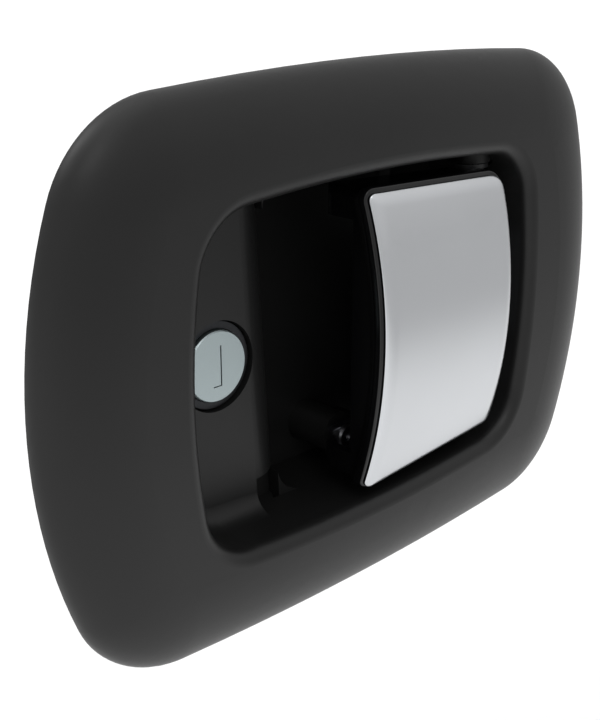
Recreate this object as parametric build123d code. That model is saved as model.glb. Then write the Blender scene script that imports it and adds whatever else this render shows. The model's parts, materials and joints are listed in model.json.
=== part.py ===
"""Flush paddle latch: a keyed paddle in a domed bezel that draws a slam bolt through a sliding clutch plate.

Millimetres. The origin is the middle of the bezel's back face, which lies on the panel at Y = 0.
The front faces -Y, +X is to the right and +Z is up. The bolt shoots out to +X behind the panel.
"""
from build123d import *
from math import atan2, cos, degrees, hypot, radians, sin, sqrt
import os

# ---- bezel -------------------------------------------------------------------------------------------
BEZEL_HALF_W = 85.0
BEZEL_HALF_H = 60.0
BEZEL_SIDE_BOW = 16.4       # how far the middle of a side stands out beyond its ends
BEZEL_TOP_BOW = 4.5
BEZEL_CORNER_R = 25.9
DOME_H = 9.0                # crown above the panel
DOME_RUN = 19.5             # inset from the rim at which the dome is level
SKIN = 2.6                  # moulded wall of the dome
MOUTH_HALF_W = 52.6
MOUTH_HALF_H = 37.5
MOUTH_SIDE_BOW = 4.7
MOUTH_TOP_BOW = 3.0
MOUTH_CORNER_R = 13.4
WALL = 2.5                  # mouth wall, shelf and pan wall
LIP_R = 3.2
SHELF_Y = 5.8               # front of the shelf that carries the lock
SHELF_EDGE_X = -18.9        # rolled edge of the shelf, at mid height
SHELF_SLANT = 3.6           # lean of that edge, degrees
SHELF_ROLL_R = 10.0
SHELF_ROLL_RUN = 8.66
SHELF_FILLET_R = 4.5
SKIRT_END_Y = 13.0          # the skirt and the lock sleeve end here
NOTCH_TOP_Z = -29.0         # drain notch at the foot of the shelf edge
NOTCH_FLOOR = 1.5
PANEL_HOLE_OUT = 15.4       # threaded inserts that hold the bezel to the panel, outside the mouth's sides
PANEL_HOLE_Z = 24.0
INSERT_R = 2.8
INSERT_BORE_R = 1.65
INSERT_LENGTH = 5.5
BOSS_R = 5.0
INSERT_GROOVE_Y = -2.7       # knurled insert: its groove, and the floor left at its end
INSERT_GROOVE_D = 0.4
INSERT_FLOOR = 0.7
GASKET_IN = 9.1             # inset of the gasket's inner edge
GASKET_OUT = 3.9
GASKET_T = 2.0
RIB_T = 1.8

# ---- pocket pan --------------------------------------------------------------------------------------
FLOOR_Y = 21.5              # front of the pocket floor
FLANGE_REACH = 5.5
PAN_CORNER_R = 8.0
PAN_SCREW_X = (-16.0, 26.0)
PAN_SCREW_L = 9.0
PAN_HEAD_R = 3.0
PAN_HEAD_H = 2.2
PAN_SCREW_OUT = 6.0         # screw axis outside the mouth
PAN_SCREW_R = 1.5
CHASSIS_SCREW_X = (-19.0, 51.0)
CHASSIS_SCREW_IN = 3.2      # from the chassis' long edges
CHASSIS_SCREW_R = 1.3
CHASSIS_SCREW_L = 3.2
CHASSIS_HEAD_R = 2.8
CHASSIS_HEAD_H = 1.8
CROSS_W = 0.8               # recess in the screw heads
LUG_R = 3.7
ANCHOR_X = 4.4              # boss and shoulder screw that hold the paddle spring's long leg
ANCHOR_Z = -28.4
ANCHOR_BOSS_R = 5.1
ANCHOR_BOSS_Y = 9.6
ANCHOR_NECK_R = 1.8
ANCHOR_NECK_H = 2.0
ANCHOR_HEAD_R = 2.85
ANCHOR_HEAD_T = 1.2
ANCHOR_SCREW_R = 1.35
ANCHOR_SOCKET_R = 1.1
STOP_X = 16.0               # ribs that stop the closed paddle
STOP_RIB_T = 3.0
STOP_PAD_T = 1.2
STOP_INNER_Z = 29.0
FIT = 0.1                   # between moulded pieces that are screwed together

# ---- paddle ------------------------------------------------------------------------------------------
PIN_X = 43.0
PIN_Y = 4.0
PIN_R = 2.5
PIN_END_Z = 43.5
RUN = 0.05                  # radial running fit of the pin
PIN_PRESS = 0.02            # radial clearance of the pin in the bezel
PADDLE_LEFT = -5.9          # edges of the bright cover
PADDLE_RIGHT = 40.9
PADDLE_LEFT_H = 33.2        # half heights at those edges
PADDLE_RIGHT_H = 30.7
PADDLE_FRONT_Y = -13.5      # crown of the front at the left edge
PADDLE_LEAN = 2.15          # the crown falls back to the right, degrees
PADDLE_CROWN_R = 106.0
COVER_T = 1.2
COVER_DEPTH = 3.0
COVER_CORNER_R = 4.5
COVER_TIP_R = 1.2
COVER_EDGE_R = 0.9
BASE_RIM = 1.2              # base showing round the cover
BASE_T = 2.6
PADDLE_WALL = 2.2
PADDLE_REAR_Y = 6.6
EAR_R = 4.6
BUSH_R = 3.55
EAR_BORE_R = 3.6
GROOVE_Z = 41.8             # groove near each end of the pin, for a clip
GROOVE_W = 0.9
GROOVE_D = 0.6
CLIP_R = 4.6
CLIP_T = 0.8
CLIP_MOUTH = 2.8
EAR_END_Z = 31.3
EAR_START_Z = 27.0
PAD_FACE_Z = 32.6           # flat pads on the mouth wall beside the ears
PAD_R = 5.0
BOSS_OUT_R = 6.0            # bosses outside the mouth wall that hold the pin's ends
PIN_BOSS_Z = 41.5
PADDLE_SWING = 30.0         # degrees
WEB_REAR_Y = 3.4
WEB_INNER_Z = 1.6           # two webs under the cover, with the lever's arm between them
WEB_OUTER_Z = 3.8
PEG_R = 1.5                 # peg that the spring's short leg draws back
PEG_X = 30.0
PEG_END_Z = 15.5
LEVER_RIVET_X = 24.0        # rivet through the webs and the lever's arm
LEVER_RIVET_Y = -3.5
LEVER_RIVET_R = 1.6
RIVET_FIT = 0.05
LEVER_RIVET_HEAD_R = 2.6
RIVET_HEAD_T = 1.2
SPRING_WIRE_R = 0.75
SPRING_LEG_Y = 8.6

# ---- lever, clutch plate and bolt --------------------------------------------------------------------
LEVER_R = 24.25             # pin axis to the middle of the round tip
LEVER_TIP_R = 3.0
LEVER_T = 2.5
LEVER_NECK_HALF = 1.7
LEVER_HUB_R = 5.0
LEVER_HUB_HALF = 12.0
LEVER_ARM_R = 3.2           # end of the arm, round the rivet
CHASSIS_T = 1.5
GAP = 0.3                   # sliding clearance between flat pieces
CLUTCH_T = 1.5
BAR_T = 3.0
BAR_HALF = 10.0
BAR_LEFT = -14.0
NOSE_LEFT = 62.0
NOSE_TIP = 97.0
NOSE_T = 12.0
NOSE_HALF = 8.0
STRIKE_STEP = 0.3           # the nose's strike face lies this far behind its guided face
GUIDE_LEFT = 60.0
GUIDE_RIGHT = 80.0
GUIDE_WALL = 2.5
CHASSIS_LEFT = -24.0
CHASSIS_HALF = 20.0
STRAP_LEFT = -12.0
STRAP_W = 8.0
STRAP_T = 1.5
FOOT = 9.0
GUIDE_FOOT_T = 2.0
GUIDE_RIVET_IN = 4.5        # from the guide's ends
PLATE_RIVET_R = 1.3
PLATE_RIVET_HEAD_R = 2.4
SLIDE_PIN_X = (5.0, 20.0)
SLIDE_PIN_R = 2.0
NOSE_RIVET_R = 1.5
NOSE_RIVET_IN = 3.5
NECK_HALF = 5.0             # the bar's neck, let into the nose
NECK_LENGTH = 8.0
NOSE_FLAT = 2.2             # square end of the ramped nose
NOSE_RAMP = 9.8
SPRING_Z = -16.4
SPRING_TAB_X = 12.0
SPRING_POST_X = 45.0
SPRING_TAB_HALF = 2.5
HOOK_HOLE_R = 1.1
SPRING_R = 2.6
WIRE_R = 0.8
HOOK_R = 0.7
TIP_PLAY = 0.5              # round tip in the clutch plate's window

# ---- lock --------------------------------------------------------------------------------------------
LOCK_X = -36.0
PLUG_R = 7.73
PLUG_GAP = 0.22
PLUG_BODY_R = 6.2
BARREL_R = 8.6
BARREL_FIT = 0.15
BARREL_HEAD_R = 9.7
BARREL_HEAD_T = 1.2
BARREL_FACE_Y = 7.0         # the barrel's head is sunk in the shelf, the plug's face is flush
BARREL_END_Y = 22.0
SLEEVE_R = 11.5             # moulded sleeve behind the shelf
KEYWAY_H = 8.9
KEYWAY_W = 2.3
CAM_PIN_RADIUS = 6.0        # lock axis to cam pin
CAM_PIN_R = 2.0
CAM_HUB_R = 5.6
CAM_TIP_R = 3.4
CAM_T = 1.5
CAM_PIN_TENON_R = 1.35
TAIL_HALF = 2.5             # square tail that carries the cam
TAIL_FIT = 0.05
WASHER_R = 3.9
WASHER_T = 0.9
KEYWAY_DEPTH = 14.0
CLIP_SLOT_Z = 7.4           # flats cut in the barrel for the clip
CLIP_BACK = 12.0            # the clip's reach left and right of the lock's axis
CLIP_FRONT = 8.8
CLIP_PLAY = 0.1
LOCK_TURN = 90.0            # degrees

# ---- worked out --------------------------------------------------------------------------------------
PANEL_HOLE_X = MOUTH_HALF_W + PANEL_HOLE_OUT
PAN_BACK_Y = FLOOR_Y + WALL
MOUTH_END_Y = SHELF_Y + WALL
CHASSIS_BACK_Y = PAN_BACK_Y + CHASSIS_T
CLUTCH_Y = CHASSIS_BACK_Y + GAP
CLUTCH_BACK_Y = CLUTCH_Y + CLUTCH_T
BAR_Y = CLUTCH_BACK_Y + GAP
BAR_BACK_Y = BAR_Y + BAR_T
TRAVEL = LEVER_R * sin(radians(PADDLE_SWING))
TIP_Y = PIN_Y + LEVER_R
CLUTCH_LIFT = 2 * CAM_PIN_RADIUS * sin(radians(LOCK_TURN / 2))
CAM_PIN_X = LOCK_X + CAM_PIN_RADIUS * cos(radians(LOCK_TURN / 2))
CAM_PIN_Z = -CAM_PIN_RADIUS * sin(radians(LOCK_TURN / 2))
CAM_Y = BARREL_END_Y + 0.5
CLIP_SLOT_Y = (SKIRT_END_Y + CLIP_PLAY, SKIRT_END_Y + 1.5)
STOP_Y = PADDLE_REAR_Y + GAP + STOP_PAD_T
COIL_R = SPRING_LEG_Y - PIN_Y
PEG_Y = PIN_Y - COIL_R + 1.5 * SPRING_WIRE_R + 0.05 + PEG_R


# ---- shapes shared by several pieces -----------------------------------------------------------------
class BowedOutline:
    """Closed outline of four long tangent arcs, bowed outward, joined by four corner arcs."""

    def __init__(self, half_w, half_h, side_bow, top_bow, corner_r):
        self.side_r = (half_h**2 + side_bow**2) / (2 * side_bow)
        self.top_r = (half_w**2 + top_bow**2) / (2 * top_bow)
        self.corner_r = corner_r
        self.side_x = half_w - self.side_r
        self.top_z = half_h - self.top_r
        reach_side, reach_top = self.side_r - corner_r, self.top_r - corner_r
        dx, dz = -self.side_x, self.top_z
        apart = hypot(dx, dz)
        along = (reach_side**2 - reach_top**2 + apart**2) / (2 * apart)
        across = sqrt(reach_side**2 - along**2)
        self.corner_x = self.side_x + (dx * along - dz * across) / apart
        self.corner_z = (dz * along + dx * across) / apart
        self.low = degrees(atan2(self.corner_z, self.corner_x - self.side_x))
        self.high = degrees(atan2(self.corner_z - self.top_z, self.corner_x))

    def wire(self, outset=0.0):
        """The outline moved outward by outset."""
        side_r, top_r, corner_r = self.side_r + outset, self.top_r + outset, self.corner_r + outset
        cx, cz, low, high = self.corner_x, self.corner_z, self.low, self.high
        turn = high - low
        return Wire(
            [
                CenterArc((self.side_x, 0), side_r, -low, 2 * low),
                CenterArc((cx, cz), corner_r, low, turn),
                CenterArc((0, self.top_z), top_r, high, 180 - 2 * high),
                CenterArc((-cx, cz), corner_r, 180 - high, turn),
                CenterArc((-self.side_x, 0), side_r, 180 - low, 2 * low),
                CenterArc((-cx, -cz), corner_r, 180 + low, turn),
                CenterArc((0, -self.top_z), top_r, 180 + high, 180 - 2 * high),
                CenterArc((cx, -cz), corner_r, -high, turn),
            ]
        )

    def height(self, x):
        """Half height of the outline at x."""
        if abs(x) < self.corner_x + self.corner_r * cos(radians(self.high)):
            return self.top_z + sqrt(self.top_r**2 - x**2)
        return self.corner_z + sqrt(self.corner_r**2 - (abs(x) - self.corner_x) ** 2)


RIM = BowedOutline(BEZEL_HALF_W, BEZEL_HALF_H, BEZEL_SIDE_BOW, BEZEL_TOP_BOW, BEZEL_CORNER_R)
MOUTH = BowedOutline(MOUTH_HALF_W, MOUTH_HALF_H, MOUTH_SIDE_BOW, MOUTH_TOP_BOW, MOUTH_CORNER_R)


def rim(inset=0.0):
    """Outline of the bezel, moved inward by inset."""
    return RIM.wire(-inset)


def mouth(outset=0.0):
    """Outline of the mouth that the hand reaches through, moved outward by outset."""
    return MOUTH.wire(outset)


def slab(outline, y0, y1):
    """Outline drawn in X and Z, made solid from y0 to y1."""
    face = make_face(outline) if isinstance(outline, Wire) else outline
    return extrude(Pos(0, y0, 0) * (Plane.XZ * face), amount=y1 - y0, dir=(0, 1, 0))


def block(x0, x1, y0, y1, z0, z1):
    return Pos((x0 + x1) / 2, (y0 + y1) / 2, (z0 + z1) / 2) * Box(x1 - x0, y1 - y0, z1 - z0)


def rod_y(radius, y0, y1, x, z):
    return Pos(x, (y0 + y1) / 2, z) * Rot(90, 0, 0) * Cylinder(radius, y1 - y0)


def rod_z(radius, z0, z1, x, y):
    return Pos(x, y, (z0 + z1) / 2) * Cylinder(radius, z1 - z0)


def rod_x(radius, x0, x1, y, z):
    return Pos((x0 + x1) / 2, y, z) * Rot(0, 90, 0) * Cylinder(radius, x1 - x0)


def both(make):
    """The piece that make(side) gives for the top (1) and the bottom (-1)."""
    return make(1) + make(-1)


def between(side, inner, outer):
    """Low and high Z of what lies from inner to outer above (1) or below (-1) the middle."""
    return sorted((side * inner, side * outer))


def pan_screw_places():
    return [
        (x, side * (MOUTH.height(x) + PAN_SCREW_OUT))
        for x in PAN_SCREW_X
        for side in (1, -1)
    ]


def panel_hole_places():
    return [(sx * PANEL_HOLE_X, sz * PANEL_HOLE_Z) for sx in (-1, 1) for sz in (-1, 1)]


def chassis_screw_places():
    return [(x, side * (CHASSIS_HALF - CHASSIS_SCREW_IN)) for x in CHASSIS_SCREW_X for side in (1, -1)]


def dome(inset, height, run):
    """Solid under a quarter-ellipse dome that starts at inset and is level after run."""
    start = Plane.XZ * rim()
    first = start.edges()[0]
    edge = Plane(origin=first @ 0, x_dir=(first % 0).cross(Vector(0, 1, 0)), z_dir=first % 0)
    inward = 1 if edge.x_dir.X < 0 else -1
    outward_y = -1 if edge.y_dir.Y > 0 else 1
    arc = EllipticalCenterArc((inset + run, 0), run, height, start_angle=90, arc_size=90)
    section = make_face(
        Wire([arc, Line((inset, 0), (inset + run, 0)), Line((inset + run, 0), (inset + run, height))])
    )
    if inward < 0:
        section = mirror(section, Plane.YZ)
    if outward_y < 0:
        section = mirror(section, Plane.XZ)
    ring = sweep(edge * section, path=start)
    return ring + slab(rim(inset + run), -height, 0)


def beside_shelf_edge(shift, side):
    """Half plane left (-1) or right (1) of the shelf's edge, its border moved right by shift."""
    reach = 2 * BEZEL_HALF_W
    half_plane = Pos(side * reach / 2, 0) * Rectangle(reach, 2 * reach)
    return Pos(SHELF_EDGE_X + shift, 0) * Rot(0, 0, SHELF_SLANT) * half_plane


def shelf_side(shift):
    return beside_shelf_edge(shift, -1)


def right_of_shelf(shift):
    return beside_shelf_edge(shift, 1)


# ---- bezel -------------------------------------------------------------------------------------------
def roll_room():
    """Section of the space that the shelf's roll covers, down to the skirt's end."""
    start, bend = (-SHELF_ROLL_RUN, SHELF_Y), SHELF_Y + SHELF_ROLL_R
    drop = bend - (SHELF_ROLL_R**2 - SHELF_ROLL_RUN**2) ** 0.5
    left = -SHELF_ROLL_RUN - WALL
    sides = Polyline((0, drop), (0, SKIRT_END_Y), (left, SKIRT_END_Y), (left, SHELF_Y), start)
    return make_face([RadiusArc(start, (0, drop), -SHELF_ROLL_R), sides])


def shelf_section():
    """Section of the shelf at its edge: flat, then rolled down to the skirt, all of one wall."""
    start, bend = (-SHELF_ROLL_RUN, SHELF_Y), SHELF_Y + SHELF_ROLL_R
    inner_r, inner_run = SHELF_ROLL_R - WALL, SHELF_ROLL_RUN - WALL
    drop = bend - (SHELF_ROLL_R**2 - SHELF_ROLL_RUN**2) ** 0.5
    inner_drop = bend - (inner_r**2 - inner_run**2) ** 0.5
    reach = -BEZEL_HALF_W
    face_side = [Line((reach, SHELF_Y), start), RadiusArc(start, (0, drop), -SHELF_ROLL_R)]
    skirt = Polyline((0, drop), (0, SKIRT_END_Y), (-WALL, SKIRT_END_Y), (-WALL, inner_drop))
    back = RadiusArc((-WALL, inner_drop), (-SHELF_ROLL_RUN, MOUTH_END_Y), inner_r)
    close = Polyline((-SHELF_ROLL_RUN, MOUTH_END_Y), (reach, MOUTH_END_Y), (reach, SHELF_Y))
    return make_face(face_side + [skirt, back, close])


def shelf():
    """Shelf that carries the lock, rolled over at its edge, with a soft fillet to the mouth wall."""
    lie = Pos(SHELF_EDGE_X, 0, 0) * Rot(0, -SHELF_SLANT, 0)
    plate = lie * extrude(shelf_section(), amount=BEZEL_HALF_H, both=True)
    plate &= slab(mouth(WALL / 2), SHELF_Y, SKIRT_END_Y)
    top = SHELF_Y - SHELF_FILLET_R
    bed = slab(make_face(mouth(WALL / 2)) & shelf_side(-SHELF_ROLL_RUN), top, SHELF_Y + 0.5)
    well = slab(mouth(), top - 1, SHELF_Y)
    foot = well.edges().filter_by(lambda e: abs(e.center().Y - SHELF_Y) < 0.01)
    bed -= fillet(foot, SHELF_FILLET_R)
    notch = slab(make_face(mouth(0)) & right_of_shelf(-SHELF_ROLL_RUN), top - 1, SKIRT_END_Y - NOTCH_FLOOR)
    notch &= block(-BEZEL_HALF_W, 0, top - 2, SKIRT_END_Y, -BEZEL_HALF_H, NOTCH_TOP_Z)
    cup = slab(make_face(mouth(WALL)) & right_of_shelf(-SHELF_ROLL_RUN - NOTCH_FLOOR), SHELF_Y + 1, SKIRT_END_Y)
    cup &= slab(shelf_side(0), 0, SKIRT_END_Y)
    cup &= block(-BEZEL_HALF_W, 0, SHELF_Y, SKIRT_END_Y, -BEZEL_HALF_H, NOTCH_TOP_Z + NOTCH_FLOOR)
    room = lie * extrude(roll_room(), amount=BEZEL_HALF_H, both=True)
    return plate + bed + (cup & room) - notch


def bezel():
    outer = dome(0, DOME_H, DOME_RUN)
    inner = dome(SKIN, DOME_H - SKIN, DOME_RUN - SKIN)
    body = outer - inner
    body += slab(mouth(WALL), -DOME_H + SKIN / 2, MOUTH_END_Y)
    rib = slab(rim(GASKET_IN - RIB_T), -DOME_H, -GASKET_T) - slab(rim(GASKET_IN), -DOME_H, 0)
    bosses = [rod_y(BOSS_R, -DOME_H, 0, x, z) for x, z in panel_hole_places()]
    body += (rib + bosses) & outer
    lugs = [rod_y(LUG_R, -DOME_H / 2, MOUTH_END_Y, x, z) for x, z in pan_screw_places()]
    body += lugs
    body += both(lambda s: rod_z(BOSS_OUT_R, *between(s, MOUTH.height(PIN_X), PIN_BOSS_Z), PIN_X, PIN_Y))
    body -= slab(mouth(), -DOME_H - 1, PIN_Y + BOSS_OUT_R + 1)
    lip = body.edges().filter_by(lambda e: abs(e.center().Y + DOME_H) < 0.01 and e.length > LIP_R)
    lip = lip.filter_by(lambda e: abs(e.center().X) < MOUTH_HALF_W + 0.1)
    lip = lip.filter_by(lambda e: abs(e.center().Z) < MOUTH_HALF_H + 0.1)
    body = fillet(lip, LIP_R) + shelf()
    body += both(lambda s: rod_z(PAD_R, *between(s, PAD_FACE_Z, MOUTH.height(PIN_X) + WALL), PIN_X, PIN_Y))
    body -= rod_z(EAR_R + 0.8, -PAD_FACE_Z, PAD_FACE_Z, PIN_X, PIN_Y)
    body += rod_y(SLEEVE_R, SHELF_Y + 1, SKIRT_END_Y, LOCK_X, 0)
    body -= rod_y(BARREL_R + BARREL_FIT, SHELF_Y - 1, SKIRT_END_Y + 1, LOCK_X, 0)
    body -= rod_y(BARREL_HEAD_R + BARREL_FIT, SHELF_Y - 1, BARREL_FACE_Y + BARREL_HEAD_T, LOCK_X, 0)
    body -= rod_z(PIN_R + PIN_PRESS, -BEZEL_HALF_H, BEZEL_HALF_H, PIN_X, PIN_Y)
    for x, z in panel_hole_places():
        body -= rod_y(INSERT_R, -INSERT_LENGTH, 1, x, z)
    for x, z in pan_screw_places():
        body -= rod_y(PAN_SCREW_R, 0, MOUTH_END_Y + 1, x, z)
    return body


def gasket():
    return slab(rim(GASKET_OUT), -GASKET_T, 0) - slab(rim(GASKET_IN), -GASKET_T - 1, 1)


def mount_insert(x, z):
    body = rod_y(INSERT_R, -INSERT_LENGTH, 0, x, z)
    y0, y1 = INSERT_GROOVE_Y - INSERT_GROOVE_D / 2, INSERT_GROOVE_Y + INSERT_GROOVE_D / 2
    body -= rod_y(INSERT_R + 1, y0, y1, x, z) - rod_y(INSERT_R - INSERT_GROOVE_D, y0 - 1, y1 + 1, x, z)
    return body - rod_y(INSERT_BORE_R, -INSERT_LENGTH + INSERT_FLOOR, 1, x, z)


# ---- pocket pan --------------------------------------------------------------------------------------
def tub_outline(outset):
    """Pan outline: the mouth, cut off below the shelf's edge, with round left corners."""
    face = make_face(mouth(outset)) & right_of_shelf(-outset)
    corners = face.vertices().sort_by(Axis.X)[:2]
    return fillet(corners, PAN_CORNER_R + outset)


def pocket_pan():
    """Tub behind the mouth, with the anchor boss, the stop ribs and four screw ears."""
    body = slab(tub_outline(WALL), MOUTH_END_Y, PAN_BACK_Y)
    flange = make_face(mouth(FLANGE_REACH)) & right_of_shelf(-WALL)
    for x, z in pan_screw_places():
        flange += Pos(x, z) * Circle(LUG_R)
    body += slab(flange, MOUTH_END_Y, MOUTH_END_Y + WALL)
    body -= slab(tub_outline(0), MOUTH_END_Y - 1, FLOOR_Y)
    body -= slab(make_face(mouth()) & shelf_side(FIT), MOUTH_END_Y - 1, SKIRT_END_Y + FIT)
    body -= slab(make_face(mouth(FLANGE_REACH + 1)) & shelf_side(FIT), MOUTH_END_Y - 1, SKIRT_END_Y + FIT)
    body += rod_y(ANCHOR_BOSS_R, ANCHOR_BOSS_Y, FLOOR_Y + 0.5, ANCHOR_X, ANCHOR_Z)
    for side in (1, -1):
        wall_z = MOUTH.height(STOP_X + STOP_RIB_T / 2)
        for y0, outer_z in ((STOP_Y, wall_z - FIT), (MOUTH_END_Y + FIT, wall_z + 0.5)):
            low, high = between(side, STOP_INNER_Z, outer_z)
            body += block(STOP_X - STOP_RIB_T / 2, STOP_X + STOP_RIB_T / 2, y0, FLOOR_Y + 0.5, low, high)
        body -= rod_z(BOSS_OUT_R + FIT, *between(side, EAR_START_Z, 60), PIN_X, PIN_Y)
    body -= rod_y(ANCHOR_SCREW_R + RUN, ANCHOR_BOSS_Y - 1, FLOOR_Y - 2, ANCHOR_X, ANCHOR_Z)
    body -= lever_window(FLOOR_Y - 1, PAN_BACK_Y + 1)
    for x, z in pan_screw_places():
        body -= rod_y(PAN_SCREW_R + 0.2, MOUTH_END_Y - 1, MOUTH_END_Y + WALL + 1, x, z)
    for x, z in chassis_screw_places():
        body -= rod_y(CHASSIS_SCREW_R, PAN_BACK_Y - WALL + 0.6, PAN_BACK_Y + 1, x, z)
    return body


def lever_window(y0, y1):
    """Slot that the lever swings in."""
    half = LEVER_T / 2 + 2.0
    return block(PIN_X - TRAVEL - LEVER_TIP_R - 0.8, PIN_X + LEVER_TIP_R + 0.8, y0, y1, -half, half)


def anchor_screw():
    """Shoulder screw in the anchor boss: the spring's long leg passes over its neck, under its head."""
    face, seat = ANCHOR_BOSS_Y - ANCHOR_NECK_H - ANCHOR_HEAD_T, ANCHOR_BOSS_Y - ANCHOR_NECK_H
    body = rod_y(ANCHOR_HEAD_R, face, seat, ANCHOR_X, ANCHOR_Z)
    body = chamfer(body.edges().group_by(Axis.Y)[0], ANCHOR_HEAD_T / 3)
    body += rod_y(ANCHOR_NECK_R, seat, ANCHOR_BOSS_Y, ANCHOR_X, ANCHOR_Z)
    body += rod_y(ANCHOR_SCREW_R, ANCHOR_BOSS_Y, FLOOR_Y - 3, ANCHOR_X, ANCHOR_Z)
    return body - rod_y(ANCHOR_SOCKET_R, face - 1, face + ANCHOR_HEAD_T / 2, ANCHOR_X, ANCHOR_Z)


def pan_head_screw(x, z, seat_y, length, shank_r, head_r, head_h):
    """Screw driven towards -Y, its head on the seat at seat_y."""
    head = rod_y(head_r, seat_y, seat_y + head_h, x, z)
    head = chamfer(head.edges().group_by(Axis.Y)[-1], head_h * 0.4)
    reach, half, y0, y1 = head_r * 0.6, CROSS_W / 2, seat_y + head_h * 0.5, seat_y + head_h + 1
    head -= block(x - half, x + half, y0, y1, z - reach, z + reach)
    head -= block(x - reach, x + reach, y0, y1, z - half, z + half)
    return head + rod_y(shank_r, seat_y - length, seat_y, x, z)


def stop_pad(side):
    """Rubber pad on a stop rib, a little wider than the rib."""
    low, high = between(side, STOP_INNER_Z + GAP, MOUTH.height(STOP_X) - 1.0)
    half = STOP_RIB_T / 2 + 0.5
    pad = block(STOP_X - half, STOP_X + half, STOP_Y - STOP_PAD_T, STOP_Y, low, high)
    return chamfer(pad.edges().group_by(Axis.Y)[0], STOP_PAD_T / 3)


# ---- paddle ------------------------------------------------------------------------------------------
def crowned(depth):
    """Everything behind the paddle's front when that is moved back by depth: a big cylinder lying along X."""
    return (
        Pos(PADDLE_LEFT, PADDLE_FRONT_Y, 0)
        * Rot(0, 0, PADDLE_LEAN)
        * Pos(0, PADDLE_CROWN_R, 0)
        * Rot(0, 90, 0)
        * Cylinder(PADDLE_CROWN_R - depth, 400)
    )


def paddle_outline(outset, right=PADDLE_RIGHT, tip_r=COVER_TIP_R, corner_r=COVER_CORNER_R):
    """Tapered outline of the paddle, sharp-cornered on the left and round on the right."""
    slope = (PADDLE_RIGHT_H - PADDLE_LEFT_H) / (PADDLE_RIGHT - PADDLE_LEFT)
    x0, x1 = PADDLE_LEFT - outset, right + outset
    h0 = PADDLE_LEFT_H + outset + slope * (x0 - PADDLE_LEFT)
    h1 = PADDLE_LEFT_H + outset + slope * (x1 - PADDLE_LEFT)
    face = make_face(Polyline((x0, -h0), (x1, -h1), (x1, h1), (x0, h0), close=True))
    if corner_r + outset > 0.2:
        face = fillet(face.vertices().sort_by(Axis.X)[2:], corner_r + outset)
    if tip_r + outset > 0.2:
        face = fillet(face.vertices().sort_by(Axis.X)[:2], tip_r + outset)
    return face


def paddle_cover():
    """Chromed shell over the paddle's front, crowned from top to bottom."""
    front = slab(paddle_outline(0), -30, 0) & crowned(0)
    edge = front.edges().filter_by(lambda e: e.center().Y < -5)
    front = fillet(edge, COVER_EDGE_R)
    hollow = slab(paddle_outline(-COVER_T), -30, 0) & crowned(COVER_T)
    return (front - crowned(COVER_DEPTH)) - hollow


def paddle_base():
    """Moulded handle: a plate behind the cover, flanges down to the ears, two webs and the peg."""
    behind_cover = crowned(COVER_DEPTH + 0.1)
    plate = (slab(paddle_outline(BASE_RIM), -30, 0) & behind_cover) - crowned(COVER_DEPTH + BASE_T)
    core = (slab(paddle_outline(-COVER_T - 0.1), -30, 0) & crowned(COVER_T + 0.1)) - crowned(COVER_DEPTH + 0.5)
    plan = make_face(
        Polyline(
            (PADDLE_LEFT - BASE_RIM, -20),
            (PADDLE_LEFT - BASE_RIM, PADDLE_REAR_Y),
            (PIN_X - 6, PADDLE_REAR_Y),
            (PIN_X, PIN_Y + EAR_R),
            (PIN_X + EAR_R, PIN_Y),
            (PADDLE_RIGHT + BASE_RIM, -6),
            (PADDLE_RIGHT + BASE_RIM, -20),
            close=True,
        )
    )
    plan = fillet(plan.vertices().sort_by(lambda v: v.X - v.Y)[:1], 3.0)
    reach = PIN_X + EAR_R + 2 - PADDLE_RIGHT
    sides = slab(paddle_outline(BASE_RIM, PADDLE_RIGHT + reach, corner_r=0), -30, 30)
    sides -= slab(paddle_outline(BASE_RIM - PADDLE_WALL, PADDLE_RIGHT + reach + 9, 0, 0), -31, 31)
    flanges = extrude(plan, amount=45, both=True) & sides
    flanges &= behind_cover
    front_left = block(PADDLE_LEFT - 5, PADDLE_LEFT + 3, -2.5, 40, -27, 27)
    flanges -= front_left
    right_wall = slab(paddle_outline(BASE_RIM), -30, -2) - slab(paddle_outline(BASE_RIM - PADDLE_WALL), -31, 0)
    right_wall &= block(PADDLE_RIGHT - 6, PADDLE_RIGHT + 5, -30, -2, -60, 60)
    right_wall &= behind_cover
    body = plate + core + flanges + right_wall
    for side in (1, -1):
        low, high = between(side, EAR_START_Z, EAR_END_Z)
        body += rod_z(EAR_R, low, high, PIN_X, PIN_Y)
        web = block(PADDLE_LEFT + 12, PIN_X - 7, -12, WEB_REAR_Y, *between(side, WEB_INNER_Z, WEB_OUTER_Z))
        body += web & crowned(COVER_DEPTH + 1)
        body += rod_z(PEG_R, *between(side, WEB_OUTER_Z - 0.8, PEG_END_Z), PEG_X, PEG_Y)
    body -= rod_z(EAR_BORE_R, -60, 60, PIN_X, PIN_Y)
    for side in (1, -1):
        face, beyond = between(side, EAR_END_Z, 50)
        body -= block(PIN_X - EAR_R - 0.6, PIN_X + 20, PIN_Y - 10, 20, face, beyond)
    return body - rod_z(LEVER_RIVET_R + RIVET_FIT, -8, 8, LEVER_RIVET_X, LEVER_RIVET_Y)


def pivot_bush(side):
    """Flanged nylon bush between an ear and the bezel's pad."""
    low, high = between(side, EAR_START_Z + 0.5, EAR_END_Z)
    body = rod_z(BUSH_R, low, high, PIN_X, PIN_Y)
    body += rod_z(EAR_R, *between(side, EAR_END_Z, PAD_FACE_Z - GAP), PIN_X, PIN_Y)
    return body - rod_z(PIN_R + RUN, -60, 60, PIN_X, PIN_Y)


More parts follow.
